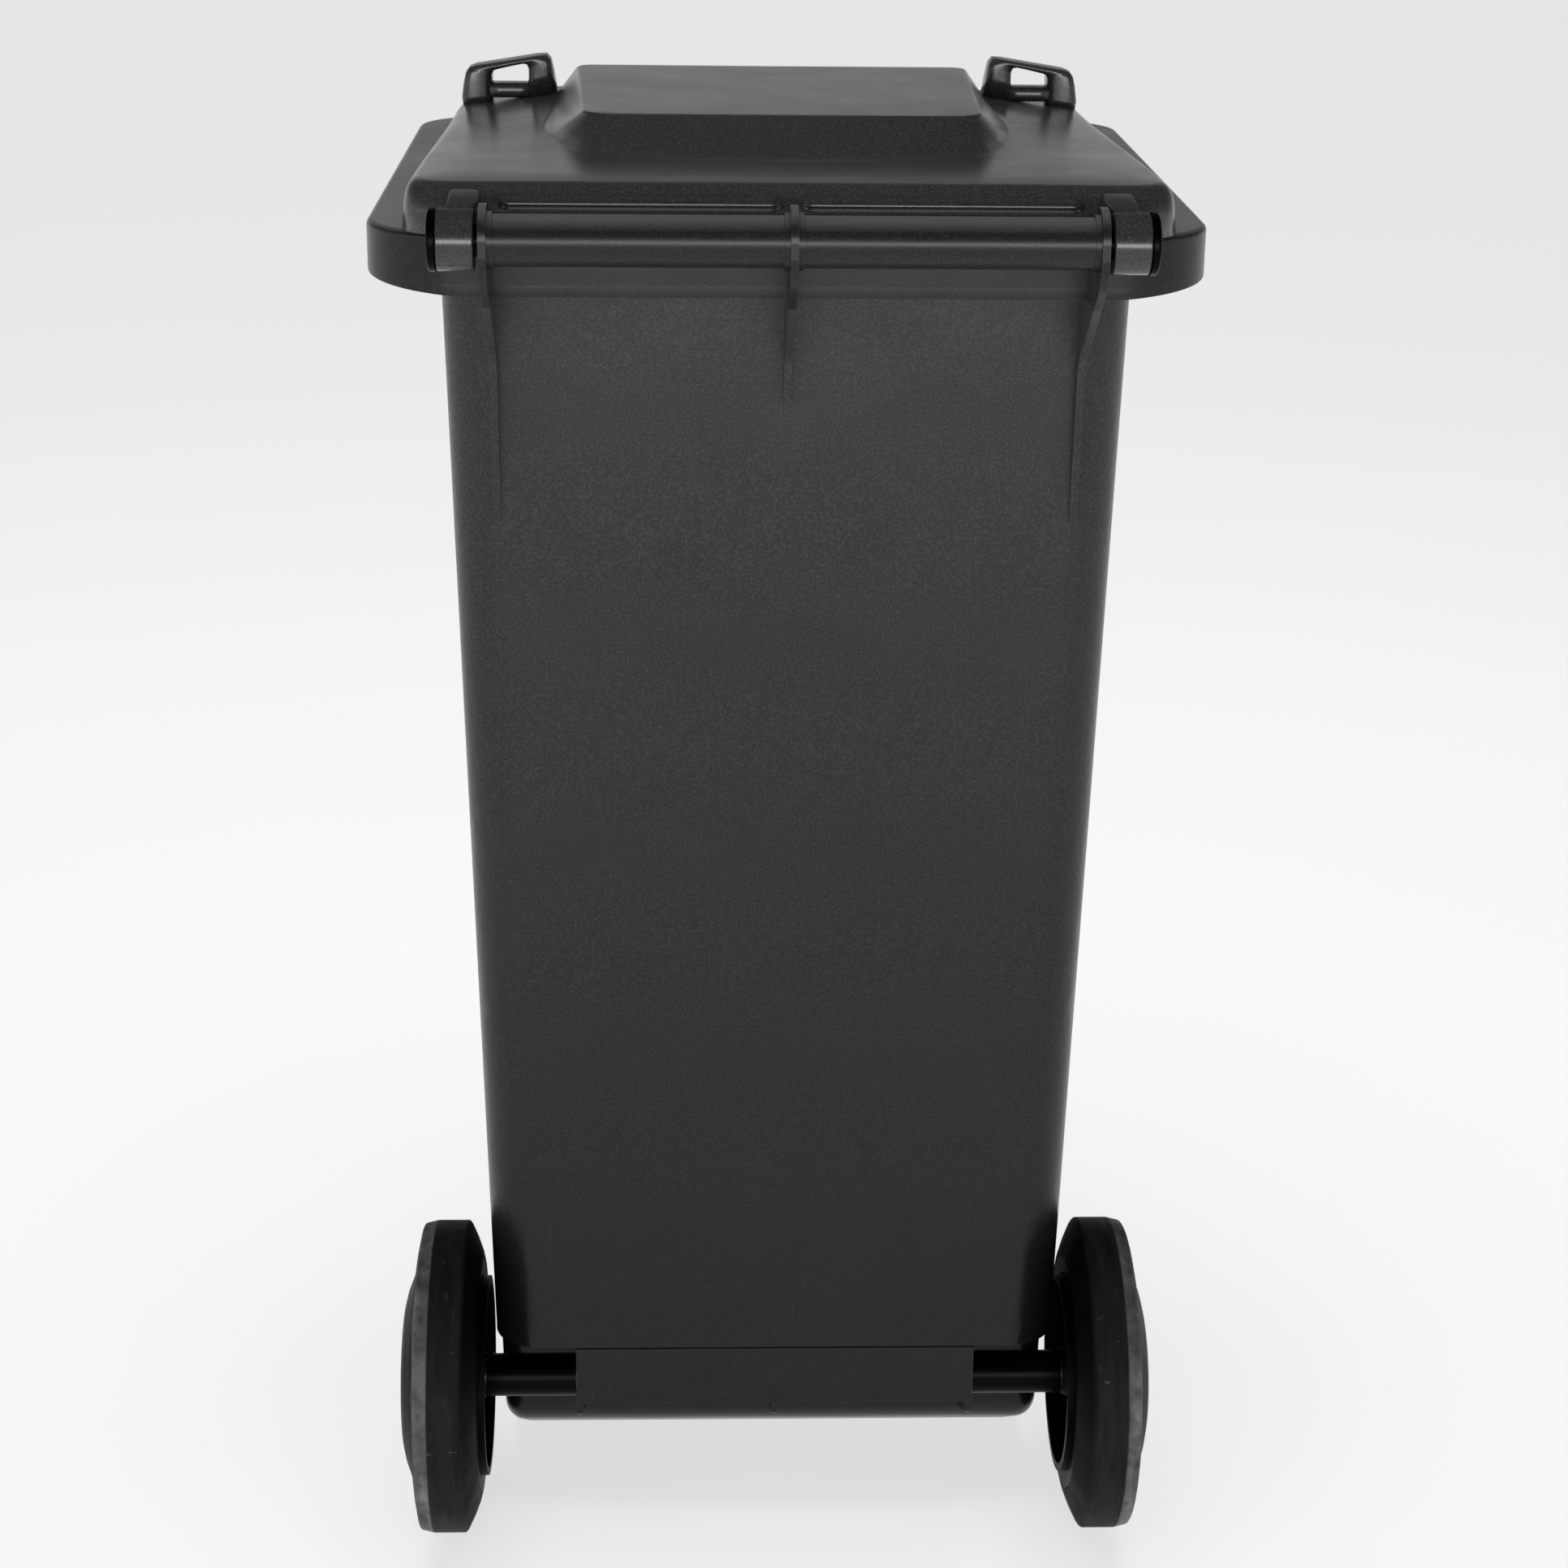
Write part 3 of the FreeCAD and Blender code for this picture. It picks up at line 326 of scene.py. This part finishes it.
def mesh_piece(name, vertices, faces, slot, body, replaced=()):
    """A smooth-shaded mesh object, given in millimetres, that rides on a body."""
    mesh = bpy.data.meshes.new(name)
    mesh.from_pydata([Vector(vertex) * MM for vertex in vertices], [], faces)
    mesh.validate()
    mesh.shade_smooth()
    piece = bpy.data.objects.new(name, mesh)
    bpy.context.scene.collection.objects.link(piece)
    mesh.materials.append(MATERIALS[slot])
    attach(piece, body)
    if replaced:
        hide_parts(*replaced)
    return piece


def round_edges(piece, width, segments=3, angle=30):
    """Round the edges of a piece that are sharper than an angle in degrees, over a width in millimetres."""
    bevel = piece.modifiers.new("rounded edges", "BEVEL")
    bevel.width = width * MM
    bevel.segments = segments
    bevel.limit_method = "ANGLE"
    bevel.angle_limit = math.radians(angle)
    bevel.harden_normals = True
    bevel.miter_outer = "MITER_ARC"


def ring_faces(rings, count, closed=False):
    """Quads between consecutive rings of vertices, each ring a closed loop of count vertices."""
    pairs = list(zip(range(rings), range(1, rings)))
    if closed:
        pairs.append((rings - 1, 0))
    sides = [(step, (step + 1) % count) for step in range(count)]
    return [
        (low * count + step, low * count + after, high * count + after, high * count + step)
        for low, high in pairs
        for step, after in sides
    ]


def turned(name, profile, centre, slot, body, steps, replaced=()):
    """A piece of revolution about X. The closed profile is a list of (x, radius)."""
    vertices = []
    for x, radius in profile:
        for step in range(steps):
            angle = math.tau * step / steps
            vertices.append((
                x + centre.x / MM,
                centre.y / MM + radius * math.cos(angle),
                centre.z / MM + radius * math.sin(angle)))
    faces = ring_faces(len(profile), steps, closed=True)
    return mesh_piece(name, vertices, faces, slot, body, replaced)


def loft(name, ribs, slot, body, steps, squareness):
    """A bar through ribs, each given as (middle, half of its first width, half of its second), all vectors.

    A rib of squareness 2 is an ellipse, and a higher one is nearer to a rectangle.
    """
    vertices = []
    for middle, across, along in ribs:
        for step in range(steps):
            angle = math.tau * step / steps
            first = math.copysign(abs(math.cos(angle)) ** (2 / squareness), math.cos(angle))
            second = math.copysign(abs(math.sin(angle)) ** (2 / squareness), math.sin(angle))
            vertices.append(middle + across * first + along * second)
    faces = ring_faces(len(ribs), steps)
    faces.append(tuple(reversed(range(steps))))
    faces.append(tuple((len(ribs) - 1) * steps + step for step in range(steps)))
    piece = mesh_piece(name, vertices, faces, slot, body)
    mesh = bmesh.new()
    mesh.from_mesh(piece.data)
    bmesh.ops.recalc_face_normals(mesh, faces=mesh.faces)
    mesh.to_mesh(piece.data)
    mesh.free()


# ---------------------------------------------------------------- outlines

# How many points every outline of the lid has along its rear, rear corner, side, front corner and front.
STRETCHES = (40, 28, 36, 16, 24)

ARC_STEPS = 12
BOW_STEPS = 40
SHORTEST_RUN = 1e-6


def resample(path, count):
    """Points at even steps along a path of straight runs, without the path's last point."""
    runs = zip(path, path[1:])
    path = path[:1] + [point for before, point in runs if (point - before).length > SHORTEST_RUN]
    lengths = [(after - before).length for before, after in zip(path, path[1:])]
    step = sum(lengths) / count
    points = []
    run = 0
    start = 0.0
    for index in range(count):
        while index * step > start + lengths[run]:
            start += lengths[run]
            run += 1
        points.append(path[run].lerp(path[run + 1], (index * step - start) / lengths[run]))
    return points


def arc(centre, radius, first, last):
    """Points of an arc between two angles in degrees, both ends included."""
    points = []
    for step in range(ARC_STEPS + 1):
        angle = math.radians(first + (last - first) * step / ARC_STEPS)
        points.append(Vector((centre[0] + radius * math.cos(angle), centre[1] + radius * math.sin(angle))))
    return points


def closed_outline(stretches):
    """A closed outline from the five stretches of its right half, mirrored to the left."""
    half = []
    for stretch, count in zip(stretches, STRETCHES):
        half += resample(stretch, count)
    half.append(stretches[-1][-1])
    return half + [Vector((-point.x, point.y)) for point in reversed(half[1:-1])]


def rounded_outline(half, front_half, rear, front, rear_round, front_round, rear_run=0, side_run=0):
    """A rounded shape whose rear corner stretch takes in a run of the rear and a run of the side."""
    rear_corner = arc((half - rear_round, rear + rear_round), rear_round, -90, 0)
    front_corner = arc((front_half - front_round, front - front_round), front_round, 0, 90)
    rear_split = Vector((half - rear_round - rear_run, rear))
    side_split = Vector((half, rear + rear_round + side_run))
    return closed_outline((
        [Vector((0, rear)), rear_split],
        [rear_split, *rear_corner, side_split],
        [side_split, front_corner[0]],
        front_corner,
        [front_corner[-1], Vector((0, front))],
    ))


# ---------------------------------------------------------------- lid shell

LID_FOOT = 865.8
LID_SKIN = 3.2
LID_DRAFT = 5
LID_HALF = 219
LID_REAR = -228
LID_FRONT = 268
REAR_TOP = 893.5
FRONT_TOP_MIDDLE = 890
FRONT_TOP_SIDE = 880
SHOULDER_START = 120

CROWN_TOP = 911.3
CROWN_MIDDLE = 65
CROWN_FOOT_HALF = 147
CROWN_FOOT_REAR = -119
CROWN_FOOT_FRONT = 232
CROWN_FOOT_FRONT_ROUND = 22
CROWN_BOW_CENTRE = 30
CROWN_BOW_POWER = 3.1
CROWN_BOW_END = 112

# The crown's foot under the rear corner of its top, from the end of the bow to the start of the side.
CROWN_CORNER_FOOT = [(119, -89), (124, -80), (135, -42), (142, -10), (145.5, 12)]
CROWN_SIDE_START = 36

# The shares of the way from the lid's shoulder to the crown's foot, and from the crown's edge towards its
# middle, at which the skin has a point.
PLATE_SHARES = (0.4, 0.5, 0.6, 0.7, 0.8)
FLAT_SHARES = (0.12, 0.3, 0.5, 0.7, 0.9)

# How far the skin's roundings reach along it from the lid's edge, the crown's foot and the crown's edge.
LID_EDGE_REACH = 15
CROWN_FOOT_REACH = 7
CROWN_EDGE_REACH = 3
ROUNDING_STEPS = 6


def smooth_step(value):
    """Go smoothly from 0 to 1 as a value does, and stay there."""
    value = min(max(value, 0), 1)
    return value * value * (3 - 2 * value)


def lid_plane(point):
    """Height of the lid beside the crown: level at the rear, with shoulders that fall away at the front."""
    ahead = (point.y - LID_REAR) / (LID_FRONT - LID_REAR)
    outward = smooth_step((abs(point.x) - SHOULDER_START) / (LID_HALF - SHOULDER_START))
    middle = REAR_TOP + (FRONT_TOP_MIDDLE - REAR_TOP) * ahead
    side = REAR_TOP + (FRONT_TOP_SIDE - REAR_TOP) * ahead
    return middle + (side - middle) * outward


def crown_bow(x):
    """The bowed rear of the crown's foot, at a distance from the middle."""
    depth = CROWN_BOW_CENTRE - CROWN_FOOT_REAR
    share = (1 - (x / CROWN_FOOT_HALF) ** CROWN_BOW_POWER) ** (1 / CROWN_BOW_POWER)
    return Vector((x, CROWN_BOW_CENTRE - depth * share))


def crown_foot_outline():
    """The crown's foot. Its rear corner stretch is the fan under the tight corner of the crown's top."""
    rear = [crown_bow(CROWN_BOW_END * step / BOW_STEPS) for step in range(BOW_STEPS + 1)]
    fan = [rear[-1]] + [Vector(point) for point in CROWN_CORNER_FOOT]
    corner_centre = (CROWN_FOOT_HALF - CROWN_FOOT_FRONT_ROUND, CROWN_FOOT_FRONT - CROWN_FOOT_FRONT_ROUND)
    corner = arc(corner_centre, CROWN_FOOT_FRONT_ROUND, 0, 90)
    side = [fan[-1], Vector((CROWN_FOOT_HALF, CROWN_SIDE_START)), corner[0]]
    return closed_outline((rear, fan, side, corner, [corner[-1], Vector((0, CROWN_FOOT_FRONT))]))


def rounded_profile(corners, reaches):
    """The points of a profile whose corners are rounded, each over a reach along both of its sides."""
    points = [corners[0]]
    for before, corner, after, reach in zip(corners, corners[1:], corners[2:], reaches):
        if reach == 0:
            points.append(corner)
            continue
        start = corner.lerp(before, min(reach / (before - corner).length, 0.49))
        end = corner.lerp(after, min(reach / (after - corner).length, 0.49))
        for step in range(ROUNDING_STEPS + 1):
            share = step / ROUNDING_STEPS
            points.append(start.lerp(corner, share).lerp(corner.lerp(end, share), share))
    points.append(corners[-1])
    return points


def lid_profile(edge, foot, top):
    """The lid's outer skin over one point of its edge, from its foot to near the middle of its crown."""
    shoulder = edge + (foot - edge).normalized() * LID_DRAFT
    plate = [shoulder.lerp(foot, share) for share in PLATE_SHARES]
    crown_middle = Vector((0, (top.y + CROWN_MIDDLE) / 2))
    flat = [top.lerp(crown_middle, share) for share in FLAT_SHARES]
    corners = [edge.to_3d() + Vector((0, 0, LID_FOOT))]
    corners += [point.to_3d() + Vector((0, 0, lid_plane(point))) for point in (shoulder, *plate, foot)]
    corners += [point.to_3d() + Vector((0, 0, CROWN_TOP)) for point in (top, *flat)]
    reaches = [LID_EDGE_REACH] + [0] * len(plate)
    reaches += [CROWN_FOOT_REACH, CROWN_EDGE_REACH] + [0] * (len(flat) - 1)
    return rounded_profile(corners, reaches)


def make_lid():
    """The lid's skin, with its wall on the inside. It stands for the whole CAD lid."""
    edge = rounded_outline(
        LID_HALF, LID_HALF, LID_REAR, LID_FRONT, rear_round=26, front_round=40, rear_run=45, side_run=60)
    top = rounded_outline(half=121, front_half=131, rear=-63, front=190, rear_round=18, front_round=8)
    profiles = [lid_profile(*station) for station in zip(edge, crown_foot_outline(), top)]
    rings = len(profiles[0])
    count = len(profiles)
    vertices = [profile[ring] for ring in range(rings) for profile in profiles]
    faces = ring_faces(rings, count)
    faces.append(tuple((rings - 1) * count + step for step in range(count)))
    lid = mesh_piece("lid_shell", vertices, faces, "lid_plastic", "lid", ["lid"])
    skin = lid.modifiers.new("wall", "SOLIDIFY")
    skin.thickness = LID_SKIN * MM
    skin.offset = -1


# ---------------------------------------------------------------- lid fittings

GRIP_MIDDLE = 221
GRIP_HALF_DEPTH = 13

# A grip seen from behind, as pairs of (x, z) on its outline and its window, from outer foot to inner foot.
GRIP_LOOP = [
    ((211.5, 880), (190.8, 881.4)),
    ((212.2, 886), (190.9, 888)),
    ((210.8, 896), (191, 896.5)),
    ((209.2, 902.5), (190.8, 901.6)),
    ((206.8, 905.9), (189.6, 904)),
    ((202.5, 907.4), (186.5, 904.9)),
    ((178, 911.3), (177, 907.2)),
    ((160, 914.2), (170, 908.6)),
    ((153.5, 914.6), (167.4, 908)),
    ((150.6, 911.6), (166.2, 905)),
    ((148.6, 903), (166.2, 899)),
    ((146, 887), (167.6, 887)),
]

# A sill's ribs are at these distances from the middle, from its outer end to its inner end.
SILL_RIBS = (196, 184, 172, 160)
SILL_MIDDLE = 890.5
SILL_HALF_HEIGHT = 5
SILL_HALF_DEPTH = GRIP_HALF_DEPTH - 1.5

# Each half of the rear bead runs between these distances from the middle, with its axis at this (y, z), and
# tapers at both ends.
BEAD_RUN = (5, 163.5)
BEAD_PLACE = (-225.6, 883.4)
BEAD_HALF_DEPTH = 4.6
BEAD_HALF_HEIGHT = 4.4
BEAD_TAPER = 7
BEAD_TAPER_STEPS = 8
BEAD_SMALLEST = 0.04

# Each knuckle runs between these distances from the middle.
KNUCKLE_RUN = (174.7, 195.4)
KNUCKLE_BORE = 9.15
KNUCKLE_RADIUS = 17
KNUCKLE_CHAMFER = 0.6


def make_grip(side, sign):
    """A loop for the fingers near a front corner of the lid, closed by a sill at its foot."""
    ribs = []
    for outer, inner in GRIP_LOOP:
        first = Vector((sign * outer[0], GRIP_MIDDLE, outer[1]))
        second = Vector((sign * inner[0], GRIP_MIDDLE, inner[1]))
        ribs.append(((first + second) / 2, (first - second) / 2, Vector((0, GRIP_HALF_DEPTH, 0))))
    loft(f"grip_{side}", ribs, "lid_plastic", "lid", steps=28, squareness=4.5)
    depth = Vector((0, SILL_HALF_DEPTH, 0))
    height = Vector((0, 0, SILL_HALF_HEIGHT))
    sill = [(Vector((sign * x, GRIP_MIDDLE, SILL_MIDDLE)), depth, height) for x in SILL_RIBS]
    loft(f"grip_sill_{side}", sill, "lid_plastic", "lid", steps=28, squareness=4.5)


def make_rear_bead(side, sign):
    """Half of the rolled bead along the lid's rear wall, which leaves room for the middle gusset."""
    near, far = BEAD_RUN
    steps = range(BEAD_TAPER_STEPS, -1, -1)
    ends = [BEAD_TAPER * (1 - math.sin(math.pi / 2 * step / BEAD_TAPER_STEPS)) for step in steps]
    ribs = []
    for x, inset in [(near + end, end) for end in ends] + [(far - end, end) for end in reversed(ends)]:
        size = max(math.sqrt(1 - (1 - inset / BEAD_TAPER) ** 2), BEAD_SMALLEST)
        depth = Vector((0, BEAD_HALF_DEPTH * size, 0))
        height = Vector((0, 0, BEAD_HALF_HEIGHT * size))
        ribs.append((Vector((sign * x, *BEAD_PLACE)), depth, height))
    loft(f"rear_bead_{side}", ribs, "lid_plastic", "lid", steps=24, squareness=2.0)


def make_hinge_arm(side, sign):
    """An arm from the lid's rear edge down to its knuckle."""
    behind = HINGE.y / MM
    up = HINGE.z / MM
    # From the knuckle to the lid: upper (y, z), lower (y, z), and how far its two faces are from the middle.
    sections = [
        ((behind - 1, up + 15.5), (behind + 3, up + 11), (175.2, 190)),
        ((behind + 7, up + 18.5), (behind + 11, up + 8), (175.2, 190.2)),
        ((-242, 889.2), (-243, 872), (173, 190.6)),
        ((-226, 891), (-227, 869), (173, 191)),
        ((-219, 890.6), (-220, 868), (173, 191)),
    ]
    ribs = []
    for upper, lower, (near, far) in sections:
        first = Vector((sign * (near + far) / 2, *upper))
        second = Vector((sign * (near + far) / 2, *lower))
        ribs.append(((first + second) / 2, Vector(((far - near) / 2, 0, 0)), (first - second) / 2))
    loft(f"hinge_arm_{side}", ribs, "lid_plastic", "lid", steps=28, squareness=9.0)


def make_knuckle(side, sign):
    """The ring at the end of a hinge arm that turns on the hinge pin."""
    near, far = KNUCKLE_RUN
    profile = [
        (sign * near, KNUCKLE_BORE),
        (sign * near, KNUCKLE_RADIUS - KNUCKLE_CHAMFER),
        (sign * (near + KNUCKLE_CHAMFER), KNUCKLE_RADIUS),
        (sign * (far - KNUCKLE_CHAMFER), KNUCKLE_RADIUS),
        (sign * far, KNUCKLE_RADIUS - KNUCKLE_CHAMFER),
        (sign * far, KNUCKLE_BORE),
    ]
    knuckle = turned(f"knuckle_{side}", profile, HINGE, "lid_plastic", "lid", steps=72)
    round_edges(knuckle, width=0.4)


# ---------------------------------------------------------------- collar

# The collar's rear corners are arcs about points this far to the left and right, and this far back.
HEM_CORNER_X = 185
HEM_CORNER_Y = -159.5
HEM_CORNER_RADIUS = 56
HEM_CORNER_STEPS = 16
HEM_THICKNESS = 3.8
HEM_TOP = 838
HEM_EDGE = 836
HEM_DROP = 7


def make_rear_hem():
    """The collar's hanging edge reaches lower along the rear, and rises round the rear corners."""
    corner = []
    for step in range(HEM_CORNER_STEPS + 1):
        share = step / HEM_CORNER_STEPS
        angle = math.pi / 2 * share
        corner.append((math.sin(angle), -math.cos(angle), HEM_EDGE - HEM_DROP * (1 - share)))
    stations = [(-1, *point) for point in reversed(corner)] + [(1, *point) for point in corner]
    ribs = []
    for sign, outward, behind, low in stations:
        x = sign * (HEM_CORNER_X + HEM_CORNER_RADIUS * outward)
        y = HEM_CORNER_Y + HEM_CORNER_RADIUS * behind
        across = Vector((sign * outward, behind, 0)) * HEM_THICKNESS / 2
        ribs.append((Vector((x, y, (HEM_TOP + low) / 2)), across, Vector((0, 0, (HEM_TOP - low) / 2))))
    loft("rear_hem", ribs, "body_plastic", "bin", steps=28, squareness=9.0)


# ---------------------------------------------------------------- tyres

# Half of a tyre's section as (x, radius): inner wall, tread, worn bevel, outer wall.
TYRE_SECTION = [
    (192.2, 76.2), (192.2, 78), (193.4, 83), (196.6, 91.5), (200.3, 99.4), (201.6, 101.2), (202.4, 101.4),
    (212, 101.4), (222.2, 101.4), (230, 99.5), (230.6, 98.8), (232.4, 90), (233.6, 82), (233.8, 76.2),
]


def make_tyre(side, sign):
    """A solid tyre with a flat tread and a worn bevel on its outer side."""
    profile = [(sign * x, radius) for x, radius in TYRE_SECTION]
    replaced = [f"tyre_{side}"]
    tyre = turned(f"tyre_tread_{side}", profile, AXLE, "tyre_rubber", f"wheel_{side}", 200, replaced)
    round_edges(tyre, width=0.35, segments=2, angle=12)


# ---------------------------------------------------------------- carried-over nodes

# How much the edges of the CAD nodes that stay visible are rounded. A name with no side stands for a pair.
EDGE_ROUNDING = {
    "body_shell": 1.0,
    "axle_rod": 0.3,
    "chip_nest_plug": 0.5,
    "hinge_pin": 0.6,
    "spacer_sleeve": 0.6,
    "wheel_hub": 0.8,
    "hub_bush": 0.3,
    "thrust_washer": 0.3,
    "lock_ring": 0.3,
    "hub_cap": 0.6,
}


def finish_nodes():
    """Give the CAD nodes that stay visible their material and rounded edges."""
    slots = {row["node"]: row["material_slot"] for row in frame["record"]["subparts"]}
    for node, width in EDGE_ROUNDING.items():
        names = [node] if node in frame["nodes"] else [f"{node}_{side}" for side in SIDES]
        for name in names:
            piece = frame["nodes"][name]
            piece.data.materials.clear()
            piece.data.materials.append(MATERIALS[slots[name]])
            round_edges(piece, width, segments=2)


# ---------------------------------------------------------------- stage

FLOOR_HALF = 30
FLOOR_GLOW = 0.66

CEILING_PLACE = (0, 0, 3)
CEILING_AIM = (0, 0, 0)
CEILING_SIZE = (2.4, 2.4)
CEILING_RADIANCE = 1.4
STRIP_PLACE = (0, -5, 1.05)
STRIP_AIM = (0, 0, 0.9)
STRIP_SIZE = (5, 1)
STRIP_RADIANCE = 8

# From level and facing +Y, the camera is turned to the left, tilted down and rolled, in radians.
CAMERA_PLACE = (-0.0637, -1.9572, 1.1598)
CAMERA_TURN = -0.0364
CAMERA_DOWN = 0.343
CAMERA_ROLL = 0.0123
CAMERA_LENS_MM = 71.11
CAMERA_SENSOR_MM = 36


def make_floor():
    """A plain pale floor that runs past the edges of the picture, and glows a little like a light table."""
    corners = [(x * FLOOR_HALF, y * FLOOR_HALF, 0) for x, y in ((-1, -1), (1, -1), (1, 1), (-1, 1))]
    mesh = bpy.data.meshes.new("floor")
    mesh.from_pydata(corners, [], [(0, 1, 2, 3)])
    floor = bpy.data.objects.new("floor", mesh)
    bpy.context.scene.collection.objects.link(floor)
    material, tree, shader = start_material("pale_floor")
    clouds = noise(tree, place(tree), 3, 3)
    tree.links.new(mix_colours(tree, clouds, grey(0.86), grey(0.9)), shader.inputs["Base Color"])
    shader.inputs["Roughness"].default_value = 0.9
    shader.inputs["Specular IOR Level"].default_value = 0.1
    shader.inputs["Emission Color"].default_value = grey(1)
    shader.inputs["Emission Strength"].default_value = FLOOR_GLOW
    mesh.materials.append(material)


def add_area_light(name, place_at, aim, size, radiance, hidden_from):
    """A rectangular soft light of the given radiance, which neither the camera nor one kind of ray sees."""
    light = bpy.data.lights.new(name, "AREA")
    light.shape = "RECTANGLE"
    light.size, light.size_y = size
    light.energy = radiance * math.pi * size[0] * size[1]
    lamp = bpy.data.objects.new(name, light)
    lamp.location = place_at
    lamp.rotation_euler = (Vector(aim) - Vector(place_at)).to_track_quat("-Z", "Y").to_euler()
    lamp.visible_camera = False
    setattr(lamp, hidden_from, False)
    bpy.context.scene.collection.objects.link(lamp)


def make_studio():
    """Surroundings that are brightest at the horizon, behind the camera and to the left."""
    world = bpy.data.worlds.new("studio")
    bpy.context.scene.world = world
    world.use_nodes = True
    tree = world.node_tree
    tree.nodes.clear()
    direction = split(tree, tree.nodes.new("ShaderNodeTexCoord").outputs["Generated"])
    above_horizon = spread(tree, direction["Z"], 0.1, 0.15, 0.6, 0.28)
    overhead = spread(tree, direction["Z"], 0.15, 0.4, 1, 0.25)
    behind_camera = spread(tree, direction["Y"], 0.3, -0.3, 1, 2.2)
    from_left = spread(tree, direction["X"], -0.35, 0.35, 1.15, 0.72)
    strength = above_horizon
    for factor in (overhead, behind_camera, from_left):
        strength = multiply(tree, strength, factor)
    background = add_node(tree, "ShaderNodeBackground", {"Color": grey(1), "Strength": strength})
    output = tree.nodes.new("ShaderNodeOutputWorld")
    tree.links.new(background.outputs["Background"], output.inputs["Surface"])
    bpy.context.scene.view_settings.view_transform = "Standard"


def add_lights():
    """A soft fill above the bin, and a strip behind the camera for the highlights."""
    add_area_light(
        "ceiling_light", CEILING_PLACE, CEILING_AIM, CEILING_SIZE, CEILING_RADIANCE, "visible_glossy")
    add_area_light("strip_light", STRIP_PLACE, STRIP_AIM, STRIP_SIZE, STRIP_RADIANCE, "visible_diffuse")


def place_camera():
    """The camera behind the handle, a little left of the middle and above the lid."""
    camera = bpy.data.cameras.new("camera")
    camera.lens = CAMERA_LENS_MM
    camera.sensor_width = CAMERA_SENSOR_MM
    eye = bpy.data.objects.new("camera", camera)
    turn = Matrix.Rotation(CAMERA_TURN, 4, "Z")
    turn @= Matrix.Rotation(math.pi / 2 - CAMERA_DOWN, 4, "X")
    turn @= Matrix.Rotation(CAMERA_ROLL, 4, "Z")
    eye.matrix_world = Matrix.Translation(CAMERA_PLACE) @ turn
    bpy.context.scene.collection.objects.link(eye)
    bpy.context.scene.camera = eye


# ---------------------------------------------------------------- scene

make_lid()
make_rear_hem()
for side, sign in SIDES.items():
    make_rear_bead(side, sign)
    make_grip(side, sign)
    make_hinge_arm(side, sign)
    make_knuckle(side, sign)
    make_tyre(side, sign)
finish_nodes()
make_floor()
make_studio()
add_lights()
place_camera()
